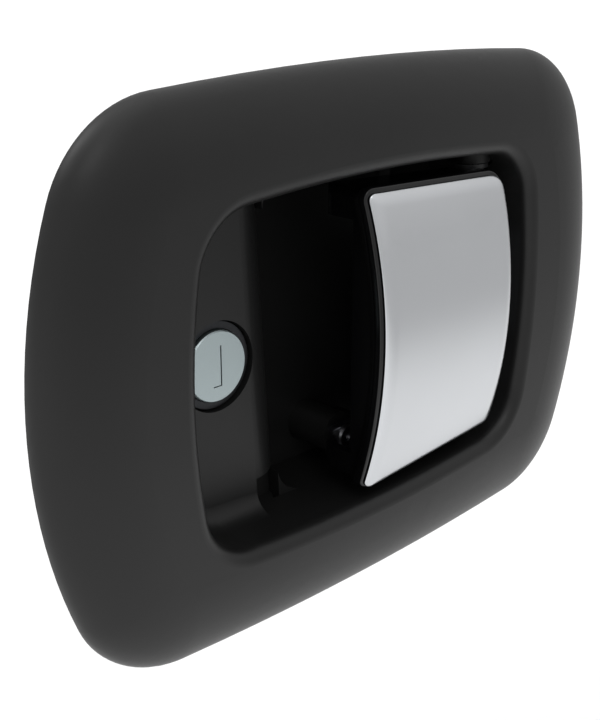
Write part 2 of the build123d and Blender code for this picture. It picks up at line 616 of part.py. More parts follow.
def hinge_pin():
    body = rod_z(PIN_R, -PIN_END_Z, PIN_END_Z, PIN_X, PIN_Y)
    body = chamfer(body.edges(), 0.5)
    for side in (1, -1):
        groove = rod_z(PIN_R + 1, *between(side, GROOVE_Z, GROOVE_Z + GROOVE_W), PIN_X, PIN_Y)
        body -= groove - rod_z(PIN_R - GROOVE_D, -60, 60, PIN_X, PIN_Y)
    return body


def pin_clip(side):
    """Open clip in the pin's groove."""
    start = GROOVE_Z + (GROOVE_W - CLIP_T) / 2
    low, high = between(side, start, start + CLIP_T)
    body = rod_z(CLIP_R, low, high, PIN_X, PIN_Y) - rod_z(PIN_R - GROOVE_D + 0.1, -60, 60, PIN_X, PIN_Y)
    return body - block(PIN_X - CLIP_MOUTH / 2, PIN_X + CLIP_MOUTH / 2, PIN_Y, PIN_Y + 10, -60, 60)


def paddle_lever():
    """Pressed lever: hub on the pin, round tip in the clutch plate, arm between the paddle's two webs."""
    blade = block(PIN_X - LEVER_NECK_HALF, PIN_X + LEVER_NECK_HALF, PIN_Y, TIP_Y, -LEVER_T / 2, LEVER_T / 2)
    blade += rod_z(LEVER_TIP_R, -LEVER_T / 2, LEVER_T / 2, PIN_X, TIP_Y)
    wide, narrow, foot, top = LEVER_HUB_R - 0.4, LEVER_NECK_HALF, PIN_Y + 2, PIN_Y + 2.2 * LEVER_HUB_R
    gusset = make_face(
        Polyline(
            (PIN_X - wide, foot), (PIN_X + wide, foot), (PIN_X + narrow, top), (PIN_X - narrow, top), close=True
        )
    )
    arm_tip = Pos(LEVER_RIVET_X, LEVER_RIVET_Y) * Circle(LEVER_ARM_R)
    arm = make_hull(arm_tip.edges() + (Pos(PIN_X, PIN_Y) * Circle(LEVER_HUB_R - 0.6)).edges())
    body = blade + extrude(gusset + arm, amount=LEVER_T / 2, both=True)
    body += rod_z(LEVER_HUB_R, -LEVER_HUB_HALF, LEVER_HUB_HALF, PIN_X, PIN_Y)
    body -= rod_z(PIN_R + RUN, -60, 60, PIN_X, PIN_Y)
    return body - rod_z(LEVER_RIVET_R + RIVET_FIT, -8, 8, LEVER_RIVET_X, LEVER_RIVET_Y)


def lever_rivet():
    """Rivet through both webs and the lever's arm."""
    seat = WEB_OUTER_Z + 0.1
    body = rod_z(LEVER_RIVET_R, -seat, seat, LEVER_RIVET_X, LEVER_RIVET_Y)
    for side in (1, -1):
        low, high = between(side, seat, seat + RIVET_HEAD_T)
        body += rod_z(LEVER_RIVET_HEAD_R, low, high, LEVER_RIVET_X, LEVER_RIVET_Y)
    return body


def coil_body(length, radius, wire_r):
    """Close-wound spring body along +Z from 0: a sleeve with a groove between each two turns."""
    turns = max(3, round(length / (2 * wire_r)))
    pitch = length / turns
    points = [(radius - wire_r, length), (radius - wire_r, 0)]
    for turn in range(turns):
        points += [(radius, turn * pitch), (radius + wire_r, (turn + 0.5) * pitch)]
    points.append((radius, length))
    return revolve(Plane.XZ * make_face(Polyline(points, close=True)), Axis.Z)


def paddle_spring():
    """Torsion spring on the hinge pin, its long leg under the anchor screw's head."""
    wire = SPRING_WIRE_R
    top, low = -LEVER_HUB_HALF - 0.8, ANCHOR_Z + ANCHOR_NECK_R + wire
    body = Pos(PIN_X, PIN_Y, low - wire) * coil_body(top - low + wire, COIL_R - wire / 2, wire)
    long_leg = rod_x(wire, ANCHOR_X - 4, PIN_X, SPRING_LEG_Y, low)
    short_leg = rod_x(wire, PEG_X - 5, PIN_X, PIN_Y - COIL_R + wire / 2, top - wire)
    return body + long_leg + short_leg


# ---- chassis, clutch plate and bolt ------------------------------------------------------------------
def chassis():
    """Steel plate on the back of the pan, with the bent-up post that holds the bolt's spring."""
    plate = block(CHASSIS_LEFT, GUIDE_RIGHT, PAN_BACK_Y, CHASSIS_BACK_Y, -CHASSIS_HALF, CHASSIS_HALF)
    plate = fillet(plate.edges().filter_by(Axis.Y), 4)
    plate -= lever_window(PAN_BACK_Y - 1, CHASSIS_BACK_Y + 1)
    for x, z in chassis_screw_places():
        plate -= rod_y(1.7, PAN_BACK_Y - 1, CHASSIS_BACK_Y + 1, x, z)
    low, high = SPRING_Z - SPRING_TAB_HALF, SPRING_Z + SPRING_TAB_HALF
    post = block(SPRING_POST_X, SPRING_POST_X + CHASSIS_T, CHASSIS_BACK_Y - 0.5, BAR_BACK_Y + 3, low, high)
    post -= rod_x(HOOK_HOLE_R, SPRING_POST_X - 1, SPRING_POST_X + 3, BAR_Y + BAR_T / 2, SPRING_Z)
    for x, z in strap_rivet_places() + guide_rivet_places():
        plate -= rod_y(PLATE_RIVET_R, PAN_BACK_Y - 1, CHASSIS_BACK_Y + 1, x, z)
    return plate + post


def strap_rivet_places():
    return [(STRAP_LEFT + STRAP_W / 2, side * (BAR_HALF + GAP + FOOT / 2 + 0.8)) for side in (1, -1)]


def guide_rivet_places():
    z = NOSE_HALF + GAP + GUIDE_WALL + FOOT / 2 - 0.3
    places = (GUIDE_LEFT + GUIDE_RIVET_IN, GUIDE_RIGHT - GUIDE_RIVET_IN)
    return [(x, side * z) for x in places for side in (1, -1)]


def bar_strap():
    """Bridge over the clutch plate and the bar."""
    inside, outside = BAR_HALF + GAP, BAR_HALF + GAP + STRAP_T
    top = BAR_BACK_Y + GAP
    right = STRAP_LEFT + STRAP_W
    body = block(STRAP_LEFT, right, CHASSIS_BACK_Y, top + STRAP_T, -outside, outside)
    body += block(STRAP_LEFT, right, CHASSIS_BACK_Y, CHASSIS_BACK_Y + STRAP_T, -inside - FOOT, inside + FOOT)
    body -= block(STRAP_LEFT - 1, right + 1, CHASSIS_BACK_Y - 1, top, -inside, inside)
    crest = body.edges().filter_by(Axis.X).filter_by(lambda e: abs(e.center().Y - top - STRAP_T) < 0.01)
    body = fillet(crest, STRAP_T * 0.9)
    for x, z in strap_rivet_places():
        body -= rod_y(PLATE_RIVET_R, CHASSIS_BACK_Y - 1, top, x, z)
    return body


def plate_rivet(x, z, foot):
    """Rivet through the chassis and a foot of the given thickness."""
    body = rod_y(PLATE_RIVET_R, PAN_BACK_Y + 0.2, CHASSIS_BACK_Y + foot, x, z)
    head = rod_y(PLATE_RIVET_HEAD_R, CHASSIS_BACK_Y + foot, CHASSIS_BACK_Y + foot + RIVET_HEAD_T, x, z)
    return body + chamfer(head.edges().group_by(Axis.Y)[-1], RIVET_HEAD_T / 2)


def bolt_guide():
    """Block with the tunnel that the bolt nose runs in."""
    inside_z, back = NOSE_HALF + GAP, CLUTCH_Y + NOSE_T + GAP
    outside = inside_z + GUIDE_WALL
    body = block(GUIDE_LEFT, GUIDE_RIGHT, CHASSIS_BACK_Y, back + GUIDE_WALL, -outside, outside)
    body = fillet(body.edges().filter_by(Axis.X).group_by(Axis.Y)[-1], 2.0)
    foot_y = CHASSIS_BACK_Y + GUIDE_FOOT_T
    body += block(GUIDE_LEFT, GUIDE_RIGHT, CHASSIS_BACK_Y, foot_y, -CHASSIS_HALF, CHASSIS_HALF)
    body -= block(GUIDE_LEFT - 1, GUIDE_RIGHT + 1, CHASSIS_BACK_Y - 1, back, -inside_z, inside_z)
    for x, z in guide_rivet_places():
        body -= rod_y(PLATE_RIVET_R, CHASSIS_BACK_Y - 1, foot_y + 1, x, z)
    return body


def clutch_slide():
    """Plate that joins the lever's tip to the bar, or frees it when the lock lifts the plate."""
    wide = TRAVEL + LEVER_TIP_R + TIP_PLAY
    tip = LEVER_TIP_R + TIP_PLAY
    blade = LEVER_T / 2
    top_of_wide = -blade - CLUTCH_LIFT / 2 + 0.6
    bottom = -CLUTCH_LIFT - blade - 0.8
    arm = block(-38.0, 30.0, CLUTCH_Y, CLUTCH_BACK_Y, -9.4, 0.9)
    head = block(24.0, 52.0, CLUTCH_Y, CLUTCH_BACK_Y, bottom - 2.6, 5.2)
    body = arm + head
    body = fillet(body.edges().filter_by(Axis.Y), 1.5)
    body -= block(PIN_X - tip, PIN_X + tip, CLUTCH_Y - 1, CLUTCH_BACK_Y + 1, bottom, blade + 0.8)
    body -= block(PIN_X - wide, PIN_X + tip, CLUTCH_Y - 1, CLUTCH_BACK_Y + 1, bottom, top_of_wide)
    half = CAM_PIN_R + GAP
    x_far = LOCK_X + CAM_PIN_RADIUS + TRAVEL
    low, high = CAM_PIN_Z - half, CAM_PIN_Z + half
    return body - block(CAM_PIN_X - half, x_far + half, CLUTCH_Y - 1, CLUTCH_BACK_Y + 1, low, high)


def slide_pin(x):
    """Pin on the clutch plate that runs in a slot of the bar."""
    body = rod_y(SLIDE_PIN_R, CLUTCH_BACK_Y, BAR_BACK_Y - 0.2, x, CAM_PIN_Z)
    return chamfer(body.edges().group_by(Axis.Y)[-1], SLIDE_PIN_R / 5)


def bolt_bar():
    """Flat bar from the lock to the nose, with the lever's window and the clutch plate's two slots."""
    neck_end = NOSE_LEFT + NECK_LENGTH
    body = block(BAR_LEFT, neck_end, BAR_Y, BAR_BACK_Y, -BAR_HALF, BAR_HALF)
    for side in (1, -1):
        low, high = between(side, NECK_HALF, 2 * BAR_HALF)
        body -= block(NOSE_LEFT - 4, neck_end + 1, BAR_Y - 1, BAR_BACK_Y + 1, low, high)
    half = SPRING_TAB_HALF
    body += block(SPRING_TAB_X - half, SPRING_TAB_X + half, BAR_Y, BAR_BACK_Y, SPRING_Z - half, -BAR_HALF + 1)
    body = fillet(body.edges().filter_by(Axis.Y), 1.2)
    body -= rod_y(HOOK_HOLE_R, BAR_Y - 1, BAR_BACK_Y + 1, SPRING_TAB_X, SPRING_Z)
    clear = LEVER_T / 2 + 2.0
    tip = LEVER_TIP_R + TIP_PLAY
    body -= block(PIN_X - TRAVEL - tip, PIN_X + tip, BAR_Y - 1, BAR_BACK_Y + 1, -clear, clear)
    for x in SLIDE_PIN_X:
        slot = SlotCenterToCenter(CLUTCH_LIFT, 2 * (SLIDE_PIN_R + GAP))
        body -= slab(Pos(x, 0) * Rot(0, 0, 90) * slot, BAR_Y - 1, BAR_BACK_Y + 1)
    return body - rod_y(NOSE_RIVET_R + RIVET_FIT, BAR_Y - 1, BAR_BACK_Y + 1, NOSE_LEFT + NOSE_RIVET_IN, 0)


def bolt_nose():
    """Slam bolt: square to the front, ramped at the back."""
    y0, y1 = CLUTCH_Y, CLUTCH_Y + NOSE_T
    ramp_foot, ramp_top = (NOSE_TIP, y0 + NOSE_FLAT), (NOSE_TIP - NOSE_RAMP, y1)
    side = make_face(Polyline((NOSE_LEFT, y0), (NOSE_TIP, y0), ramp_foot, ramp_top, (NOSE_LEFT, y1), close=True))
    side = fillet(side.vertices().sort_by(Axis.X)[-2:], 0.9)
    body = extrude(side, amount=NOSE_HALF, both=True)
    body = chamfer(body.edges().filter_by(Axis.X), 0.8)
    neck, slot_end = NECK_HALF + 0.1, NOSE_LEFT + NECK_LENGTH + 0.2
    body -= block(NOSE_LEFT - 1, slot_end, BAR_Y - RIVET_FIT, BAR_BACK_Y + RIVET_FIT, -neck, neck)
    body -= block(GUIDE_RIGHT + GAP, NOSE_TIP + 1, y0 - 1, y0 + STRIKE_STEP, -NOSE_HALF - 1, NOSE_HALF + 1)
    return body - rod_y(NOSE_RIVET_R + RIVET_FIT, y0 - 1, y1 + 1, NOSE_LEFT + NOSE_RIVET_IN, 0)


def nose_rivet():
    """Rivet that holds the bar's neck in the nose."""
    return rod_y(NOSE_RIVET_R, CLUTCH_Y + 0.2, CLUTCH_Y + NOSE_T - 0.2, NOSE_LEFT + NOSE_RIVET_IN, 0)


def bolt_spring():
    """Extension spring that draws the bar back out, hooked in the bar's tab and the chassis' post."""
    y = BAR_Y + BAR_T / 2
    x0, x1 = SPRING_TAB_X + 2 * SPRING_TAB_HALF - 0.5, SPRING_POST_X - SPRING_TAB_HALF - 1
    body = Pos(x0, y, SPRING_Z) * Rot(0, 90, 0) * coil_body(x1 - x0, SPRING_R - WIRE_R, WIRE_R)
    for end in (x0, x1 - 1):
        body += rod_x(SPRING_R - WIRE_R, end, end + 1, y, SPRING_Z)
    lift = BAR_T / 2 + WIRE_R + 0.1
    hook = rod_x(HOOK_R, SPRING_TAB_X - HOOK_R, x0 + 0.5, y + lift, SPRING_Z)
    hook += rod_y(HOOK_R, y - BAR_T / 2, y + lift, SPRING_TAB_X, SPRING_Z)
    hook += rod_y(HOOK_R, y, y + lift, x0 + 0.5, SPRING_Z)
    return body + hook + rod_x(HOOK_R, x1 - 0.5, SPRING_POST_X + CHASSIS_T + 1.2, y, SPRING_Z)


# ---- lock --------------------------------------------------------------------------------------------
def lock_barrel():
    """Fixed body of the lock: a thin head sunk in the shelf, a body in the sleeve and two clip slots."""
    head_back = BARREL_FACE_Y + BARREL_HEAD_T
    head = rod_y(BARREL_HEAD_R, BARREL_FACE_Y, head_back, LOCK_X, 0)
    body = chamfer(head.edges().group_by(Axis.Y)[0], 0.3)
    body += rod_y(BARREL_R, head_back - 0.1, BARREL_END_Y, LOCK_X, 0)
    body -= rod_y(PLUG_R + PLUG_GAP, BARREL_FACE_Y - 1, BARREL_FACE_Y + 1.0, LOCK_X, 0)
    body -= rod_y(PLUG_BODY_R + RUN, BARREL_FACE_Y - 1, BARREL_END_Y + 1, LOCK_X, 0)
    for side in (1, -1):
        slot = block(LOCK_X - 20, LOCK_X + 20, *CLIP_SLOT_Y, *between(side, CLIP_SLOT_Z, 20))
        body -= slot
    return body


def lock_clip():
    """Spring-steel fork in the barrel's two slots, bearing on the end of the bezel's sleeve."""
    y0, y1 = CLIP_SLOT_Y[0] + CLIP_PLAY, CLIP_SLOT_Y[1] - CLIP_PLAY
    body = block(LOCK_X - CLIP_BACK, LOCK_X + CLIP_FRONT, y0, y1, -SLEEVE_R, SLEEVE_R)
    body = fillet(body.edges().filter_by(Axis.Y), 2.0)
    prong = CLIP_SLOT_Z + CLIP_PLAY
    return body - block(LOCK_X - BARREL_R - 0.2, LOCK_X + 12, y0 - 1, y1 + 1, -prong, prong)


def lock_plug():
    """Turning plug: its face is flush with the shelf, its square tail carries the cam."""
    tail_y = CAM_Y + CAM_T + WASHER_T + 0.2
    head = rod_y(PLUG_R, SHELF_Y, BARREL_FACE_Y + 0.95, LOCK_X, 0)
    body = chamfer(head.edges().group_by(Axis.Y)[0], 0.25)
    body += rod_y(PLUG_BODY_R, BARREL_FACE_Y, CAM_Y, LOCK_X, 0)
    body += block(LOCK_X - TAIL_HALF, LOCK_X + TAIL_HALF, CAM_Y, tail_y, -TAIL_HALF, TAIL_HALF)
    w, h = KEYWAY_W / 2, KEYWAY_H / 2
    return body - block(LOCK_X - w, LOCK_X + w, SHELF_Y - 1, SHELF_Y + KEYWAY_DEPTH, -h, h)


def lock_cam():
    """Plate on the plug's tail that carries the cam pin."""
    hub = Pos(LOCK_X, 0) * Circle(CAM_HUB_R)
    tip = Pos(CAM_PIN_X, CAM_PIN_Z) * Circle(CAM_TIP_R)
    plate = make_hull(hub.edges() + tip.edges())
    body = slab(plate, CAM_Y, CAM_Y + CAM_T)
    fit = TAIL_HALF + TAIL_FIT
    body -= block(LOCK_X - fit, LOCK_X + fit, CAM_Y - 1, CAM_Y + 3, -fit, fit)
    return body - rod_y(CAM_PIN_TENON_R + RIVET_FIT, CAM_Y - 1, CAM_Y + 3, CAM_PIN_X, CAM_PIN_Z)


def cam_pin():
    """Shouldered pin riveted into the cam, running in the clutch plate's slot."""
    body = rod_y(CAM_PIN_R, CAM_Y + CAM_T, CLUTCH_BACK_Y + 0.15, CAM_PIN_X, CAM_PIN_Z)
    return body + rod_y(CAM_PIN_TENON_R, CAM_Y + 0.1, CAM_Y + CAM_T, CAM_PIN_X, CAM_PIN_Z)


def cam_washer():
    """Push-on washer that keeps the cam on the plug's tail."""
    y0 = CAM_Y + CAM_T
    body = rod_y(WASHER_R, y0, y0 + WASHER_T, LOCK_X, 0)
    fit = TAIL_HALF + 0.02
    return body - block(LOCK_X - fit, LOCK_X + fit, y0 - 1, y0 + 2, -fit, fit)


# ---- all pieces --------------------------------------------------------------------------------------
def pieces():
    made = {
        "bezel": bezel(),
        "gasket": gasket(),
        "pocket_pan": pocket_pan(),
        "anchor_screw": anchor_screw(),
        "paddle_cover": paddle_cover(),
        "paddle_base": paddle_base(),
        "paddle_lever": paddle_lever(),
        "lever_rivet": lever_rivet(),
        "hinge_pin": hinge_pin(),
        "paddle_spring": paddle_spring(),
        "chassis": chassis(),
        "bar_strap": bar_strap(),
        "bolt_guide": bolt_guide(),
        "clutch_slide": clutch_slide(),
        "bolt_bar": bolt_bar(),
        "bolt_nose": bolt_nose(),
        "nose_rivet": nose_rivet(),
        "bolt_spring": bolt_spring(),
        "lock_barrel": lock_barrel(),
        "lock_clip": lock_clip(),
        "lock_plug": lock_plug(),
        "lock_cam": lock_cam(),
        "cam_pin": cam_pin(),
        "cam_washer": cam_washer(),
    }
    for n, (x, z) in enumerate(panel_hole_places(), 1):
        made[f"mount_insert_{n}"] = mount_insert(x, z)
    for n, (x, z) in enumerate(pan_screw_places(), 1):
        sizes = (PAN_SCREW_L, PAN_SCREW_R - 0.02, PAN_HEAD_R, PAN_HEAD_H)
        made[f"pan_screw_{n}"] = pan_head_screw(x, z, MOUTH_END_Y + WALL, *sizes)
    for n, (x, z) in enumerate(chassis_screw_places(), 1):
        sizes = (CHASSIS_SCREW_L, CHASSIS_SCREW_R - 0.02, CHASSIS_HEAD_R, CHASSIS_HEAD_H)
        made[f"chassis_screw_{n}"] = pan_head_screw(x, z, CHASSIS_BACK_Y, *sizes)
    for n, (x, z) in enumerate(strap_rivet_places(), 1):
        made[f"strap_rivet_{n}"] = plate_rivet(x, z, STRAP_T)
    for n, (x, z) in enumerate(guide_rivet_places(), 1):
        made[f"guide_rivet_{n}"] = plate_rivet(x, z, GUIDE_FOOT_T)
    for n, x in enumerate(SLIDE_PIN_X, 1):
        made[f"slide_pin_{n}"] = slide_pin(x)
    for name, side in (("top", 1), ("bottom", -1)):
        made[f"pivot_bush_{name}"] = pivot_bush(side)
        made[f"pin_clip_{name}"] = pin_clip(side)
        made[f"stop_pad_{name}"] = stop_pad(side)
    return made


os.makedirs("parts", exist_ok=True)
for name, shape in pieces().items():
    export_step(shape, f"parts/{name}.step")
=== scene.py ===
"""Looks of the flush paddle latch: its finishes, the wound springs, the studio and the camera.

Metres, in the latch's own frame: the origin is the middle of the bezel's back face, the front faces -Y,
+X points to the bolt's tip and +Z is up.
"""
import json
import logging
import math
from dataclasses import dataclass, field
from enum import Enum
from typing import Iterable, Sequence

import bmesh
import bpy
from mathutils import Matrix, Vector


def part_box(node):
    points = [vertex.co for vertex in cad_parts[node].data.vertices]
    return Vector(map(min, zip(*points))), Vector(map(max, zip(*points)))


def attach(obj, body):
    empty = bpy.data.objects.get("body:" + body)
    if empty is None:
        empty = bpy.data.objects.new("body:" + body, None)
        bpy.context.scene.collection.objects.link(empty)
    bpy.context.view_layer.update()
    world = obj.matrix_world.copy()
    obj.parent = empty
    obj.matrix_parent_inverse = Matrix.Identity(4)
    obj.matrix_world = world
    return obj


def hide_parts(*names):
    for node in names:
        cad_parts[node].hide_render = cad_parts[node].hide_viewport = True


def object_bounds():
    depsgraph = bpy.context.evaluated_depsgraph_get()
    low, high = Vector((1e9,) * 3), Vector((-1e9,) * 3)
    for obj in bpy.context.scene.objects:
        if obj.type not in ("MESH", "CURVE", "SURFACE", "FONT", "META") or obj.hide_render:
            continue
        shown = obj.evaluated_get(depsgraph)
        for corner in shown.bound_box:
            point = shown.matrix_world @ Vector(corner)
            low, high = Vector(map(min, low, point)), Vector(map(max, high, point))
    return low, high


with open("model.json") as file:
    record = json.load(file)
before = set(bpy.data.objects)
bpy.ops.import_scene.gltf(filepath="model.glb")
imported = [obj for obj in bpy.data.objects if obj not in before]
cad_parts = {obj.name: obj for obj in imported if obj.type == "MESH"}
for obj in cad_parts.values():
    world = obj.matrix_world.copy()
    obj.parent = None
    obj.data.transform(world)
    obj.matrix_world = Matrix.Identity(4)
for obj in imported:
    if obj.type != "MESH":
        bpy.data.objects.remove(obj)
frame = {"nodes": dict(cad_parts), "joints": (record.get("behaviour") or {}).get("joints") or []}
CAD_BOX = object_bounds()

LOG = logging.getLogger("paddle_latch")
MM = 0.001

# Most of a noise pattern's values lie between these two.
NOISE_LOW, NOISE_HIGH = 0.35, 0.65

Colour = tuple[float, float, float, float]
Stops = Sequence[tuple[float, Colour]]


# ---- shader helpers ----------------------------------------------------------------------------------
def linear(hex_colour: str) -> Colour:
    """Turns an sRGB hex colour into linear RGBA.

    Args:
        hex_colour: Six hex digits, with or without a leading #.

    Returns:
        Red, green, blue and alpha, from 0 to 1.
    """
    digits = hex_colour.lstrip("#")
    values = [int(digits[n:n + 2], 16) / 255 for n in (0, 2, 4)]
    red, green, blue = (v / 12.92 if v <= 0.04045 else ((v + 0.055) / 1.055) ** 2.4 for v in values)
    return (red, green, blue, 1.0)


def grey(value: float) -> Colour:
    """A linear grey as RGBA."""
    return (value, value, value, 1.0)


def shade(colour: Colour, factor: float) -> Colour:
    """A linear colour made lighter or darker by a factor."""
    return (colour[0] * factor, colour[1] * factor, colour[2] * factor, 1.0)


def tones(hex_colour: str, change: float, start: float = NOISE_LOW, end: float = NOISE_HIGH) -> Stops:
    """Stops from a darker to a lighter tone of a colour.

    Args:
        hex_colour: The colour in sRGB.
        change: Share by which its linear values fall and rise.
        start: Value of the pattern at which the change begins.
        end: Value at which it ends.

    Returns:
        The two stops.
    """
    base = linear(hex_colour)
    return ((start, shade(base, 1 - change)), (end, shade(base, 1 + change)))


def greys(middle: float, change: float) -> Stops:
    """Stops from a darker to a lighter grey, which serve for roughness too."""
    return ((NOISE_LOW, grey(middle - change)), (NOISE_HIGH, grey(middle + change)))


def per_metre(size_mm: float) -> float:
    """Texture scale at which one cell of a pattern is size_mm wide."""
    return 1.0 / (size_mm * MM)


def add_node(tree: bpy.types.NodeTree, kind: str, links: dict[str | int, bpy.types.NodeSocket] | None = None,
             inputs: dict[str | int, object] | None = None, stops: Stops = (),
             **settings: object) -> bpy.types.Node:
    """Adds one shader node with its settings, values, colour stops and incoming links.

    Args:
        tree: The node tree that takes it.
        kind: Blender's type name of the node.
        links: Input name or number to the output socket that feeds it.
        inputs: Input name or number to its own value.
        stops: Position and colour of each stop, in rising order, where the node has a colour ramp.
        settings: Attributes of the node itself.

    Returns:
        The new node.
    """
    node = tree.nodes.new(kind)
    for name, value in settings.items():
        setattr(node, name, value)
    for name, value in (inputs or {}).items():
        node.inputs[name].default_value = value
    for name, socket in (links or {}).items():
        tree.links.new(socket, node.inputs[name])
    if stops:
        elements = node.color_ramp.elements
        while len(elements) < len(stops):
            elements.new(0.5)
        for element, (position, colour) in zip(elements, stops):
            element.position, element.color = position, colour
    return node


def shader_tree(name: str) -> tuple[bpy.types.Material, bpy.types.NodeTree, bpy.types.Node]:
    """Makes an empty material.

    Args:
        name: The material's name.

    Returns:
        The material, its node tree and its Principled shader.
    """
    material = bpy.data.materials.new(name)
    material.use_nodes = True
    tree = material.node_tree
    tree.nodes.clear()
    shader = add_node(tree, "ShaderNodeBsdfPrincipled")
    add_node(tree, "ShaderNodeOutputMaterial", links={"Surface": shader.outputs["BSDF"]})
    return material, tree, shader


def lay_patterns(tree: bpy.types.NodeTree, shader: bpy.types.Node, relief: bpy.types.NodeSocket,
                 depth_mm: float, drift: bpy.types.NodeSocket, colours: Stops, gloss: Stops = ()) -> None:
    """Gives a shader its relief, its tone and, where it varies, its gloss.

    Args:
        tree: The material's node tree.
        shader: Its Principled shader.
        relief: The pattern that stands for the surface's height.
        depth_mm: The relief's height from valley to peak.
        drift: The pattern that the tone follows.
        colours: Colours along the drift.
        gloss: Roughness along the relief, as greys.
    """
    tone = add_node(tree, "ShaderNodeValToRGB", links={"Fac": drift}, stops=colours)
    bump = add_node(tree, "ShaderNodeBump", links={"Height": relief},
                    inputs={"Strength": 1.0, "Distance": depth_mm * MM})
    tree.links.new(tone.outputs["Color"], shader.inputs["Base Color"])
    tree.links.new(bump.outputs["Normal"], shader.inputs["Normal"])
    if gloss:
        rough = add_node(tree, "ShaderNodeValToRGB", links={"Fac": relief}, stops=gloss)
        tree.links.new(rough.outputs["Color"], shader.inputs["Roughness"])


# ---- finishes ----------------------------------------------------------------------------------------
@dataclass(frozen=True)
class Moulding:
    """Injection-moulded plastic: a fine spark-eroded grain breaks the reflection up."""

    name: str
    colour: str
    roughness: float
    grain_mm: float
    grain_depth_mm: float
    specular: float = 0.5
    tone: float = 0.06
    spread: float = 0.02
    drift_mm: float = 30.0
    ior: float = 1.5

    def material(self) -> bpy.types.Material:
        """Builds the material.

        Returns:
            The plastic, with grain in its bump and a slow drift of tone and gloss.
        """
        material, tree, shader = shader_tree(self.name)
        place = add_node(tree, "ShaderNodeTexCoord").outputs["Object"]
        grain = add_node(tree, "ShaderNodeTexNoise", links={"Vector": place},
                         inputs={"Scale": per_metre(self.grain_mm), "Detail": 3.0, "Roughness": 0.6})
        drift = add_node(tree, "ShaderNodeTexNoise", links={"Vector": place},
                         inputs={"Scale": per_metre(self.drift_mm), "Detail": 2.0})
        lay_patterns(tree, shader, grain.outputs["Fac"], self.grain_depth_mm, drift.outputs["Fac"],
                     tones(self.colour, self.tone), greys(self.roughness, self.spread))
        shader.inputs["IOR"].default_value = self.ior
        shader.inputs["Specular IOR Level"].default_value = self.specular
        return material


class Working(Enum):
    """How a metal's surface was made, which decides the direction of its marks."""

    PLATED = "plated"
    TURNED = "turned"
    ROLLED = "rolled"
    CAST = "cast"
    DRAWN = "drawn"

    @property
    def stretch(self) -> tuple[float, float, float]:
        """Scale of the marks along X, Y and Z: below 1 they are drawn out, above 1 packed together."""
        directed = {Working.TURNED: (1.0, 12.0, 1.0), Working.ROLLED: (0.08, 1.0, 1.0),
                    Working.DRAWN: (0.2, 1.0, 1.0)}
        return directed.get(self, (1.0, 1.0, 1.0))


@dataclass(frozen=True)
class Metal:
    """Bare or plated metal: its marks run the way that it was worked."""

    name: str
    colour: str
    roughness: float
    working: Working
    mark_mm: float = 0.5
    mark_depth_mm: float = 0.002
    spread: float = 0.04
    tone: float = 0.04
    drift_mm: float = 25.0

    def material(self) -> bpy.types.Material:
        """Builds the material.

        Returns:
            The metal, with marks in its gloss and bump and a slow drift of tone.
        """
        material, tree, shader = shader_tree(self.name)
        place = add_node(tree, "ShaderNodeTexCoord").outputs["Object"]
        turned = add_node(tree, "ShaderNodeMapping", links={"Vector": place},
                          inputs={"Scale": self.working.stretch})
        marks = add_node(tree, "ShaderNodeTexNoise", links={"Vector": turned.outputs["Vector"]},
                         inputs={"Scale": per_metre(self.mark_mm), "Detail": 4.0, "Roughness": 0.55})
        drift = add_node(tree, "ShaderNodeTexNoise", links={"Vector": place},
                         inputs={"Scale": per_metre(self.drift_mm), "Detail": 2.0})
        lay_patterns(tree, shader, marks.outputs["Fac"], self.mark_depth_mm, drift.outputs["Fac"],
                     tones(self.colour, self.tone), greys(self.roughness, self.spread))
        shader.inputs["Metallic"].default_value = 1.0
        return material


@dataclass(frozen=True)
class Rubber:
    """Soft rubber or foam: dull, with open cells of a real size."""

    name: str
    colour: str
    cell_mm: float
    cell_depth_mm: float
    roughness: float = 0.85
    tone: float = 0.3
    centre_end: float = 0.1
    wall_start: float = 0.6
    ior: float = 1.45

    def material(self) -> bpy.types.Material:
        """Builds the material.

        Returns:
            The rubber, with its cells in bump and colour.
        """
        material, tree, shader = shader_tree(self.name)
        place = add_node(tree, "ShaderNodeTexCoord").outputs["Object"]
        cells = add_node(tree, "ShaderNodeTexVoronoi", links={"Vector": place},
                         inputs={"Scale": per_metre(self.cell_mm)}).outputs["Distance"]
        lay_patterns(tree, shader, cells, self.cell_depth_mm, cells,
                     tones(self.colour, self.tone, self.centre_end, self.wall_start))
        shader.inputs["Roughness"].default_value = self.roughness
        shader.inputs["IOR"].default_value = self.ior
        return material


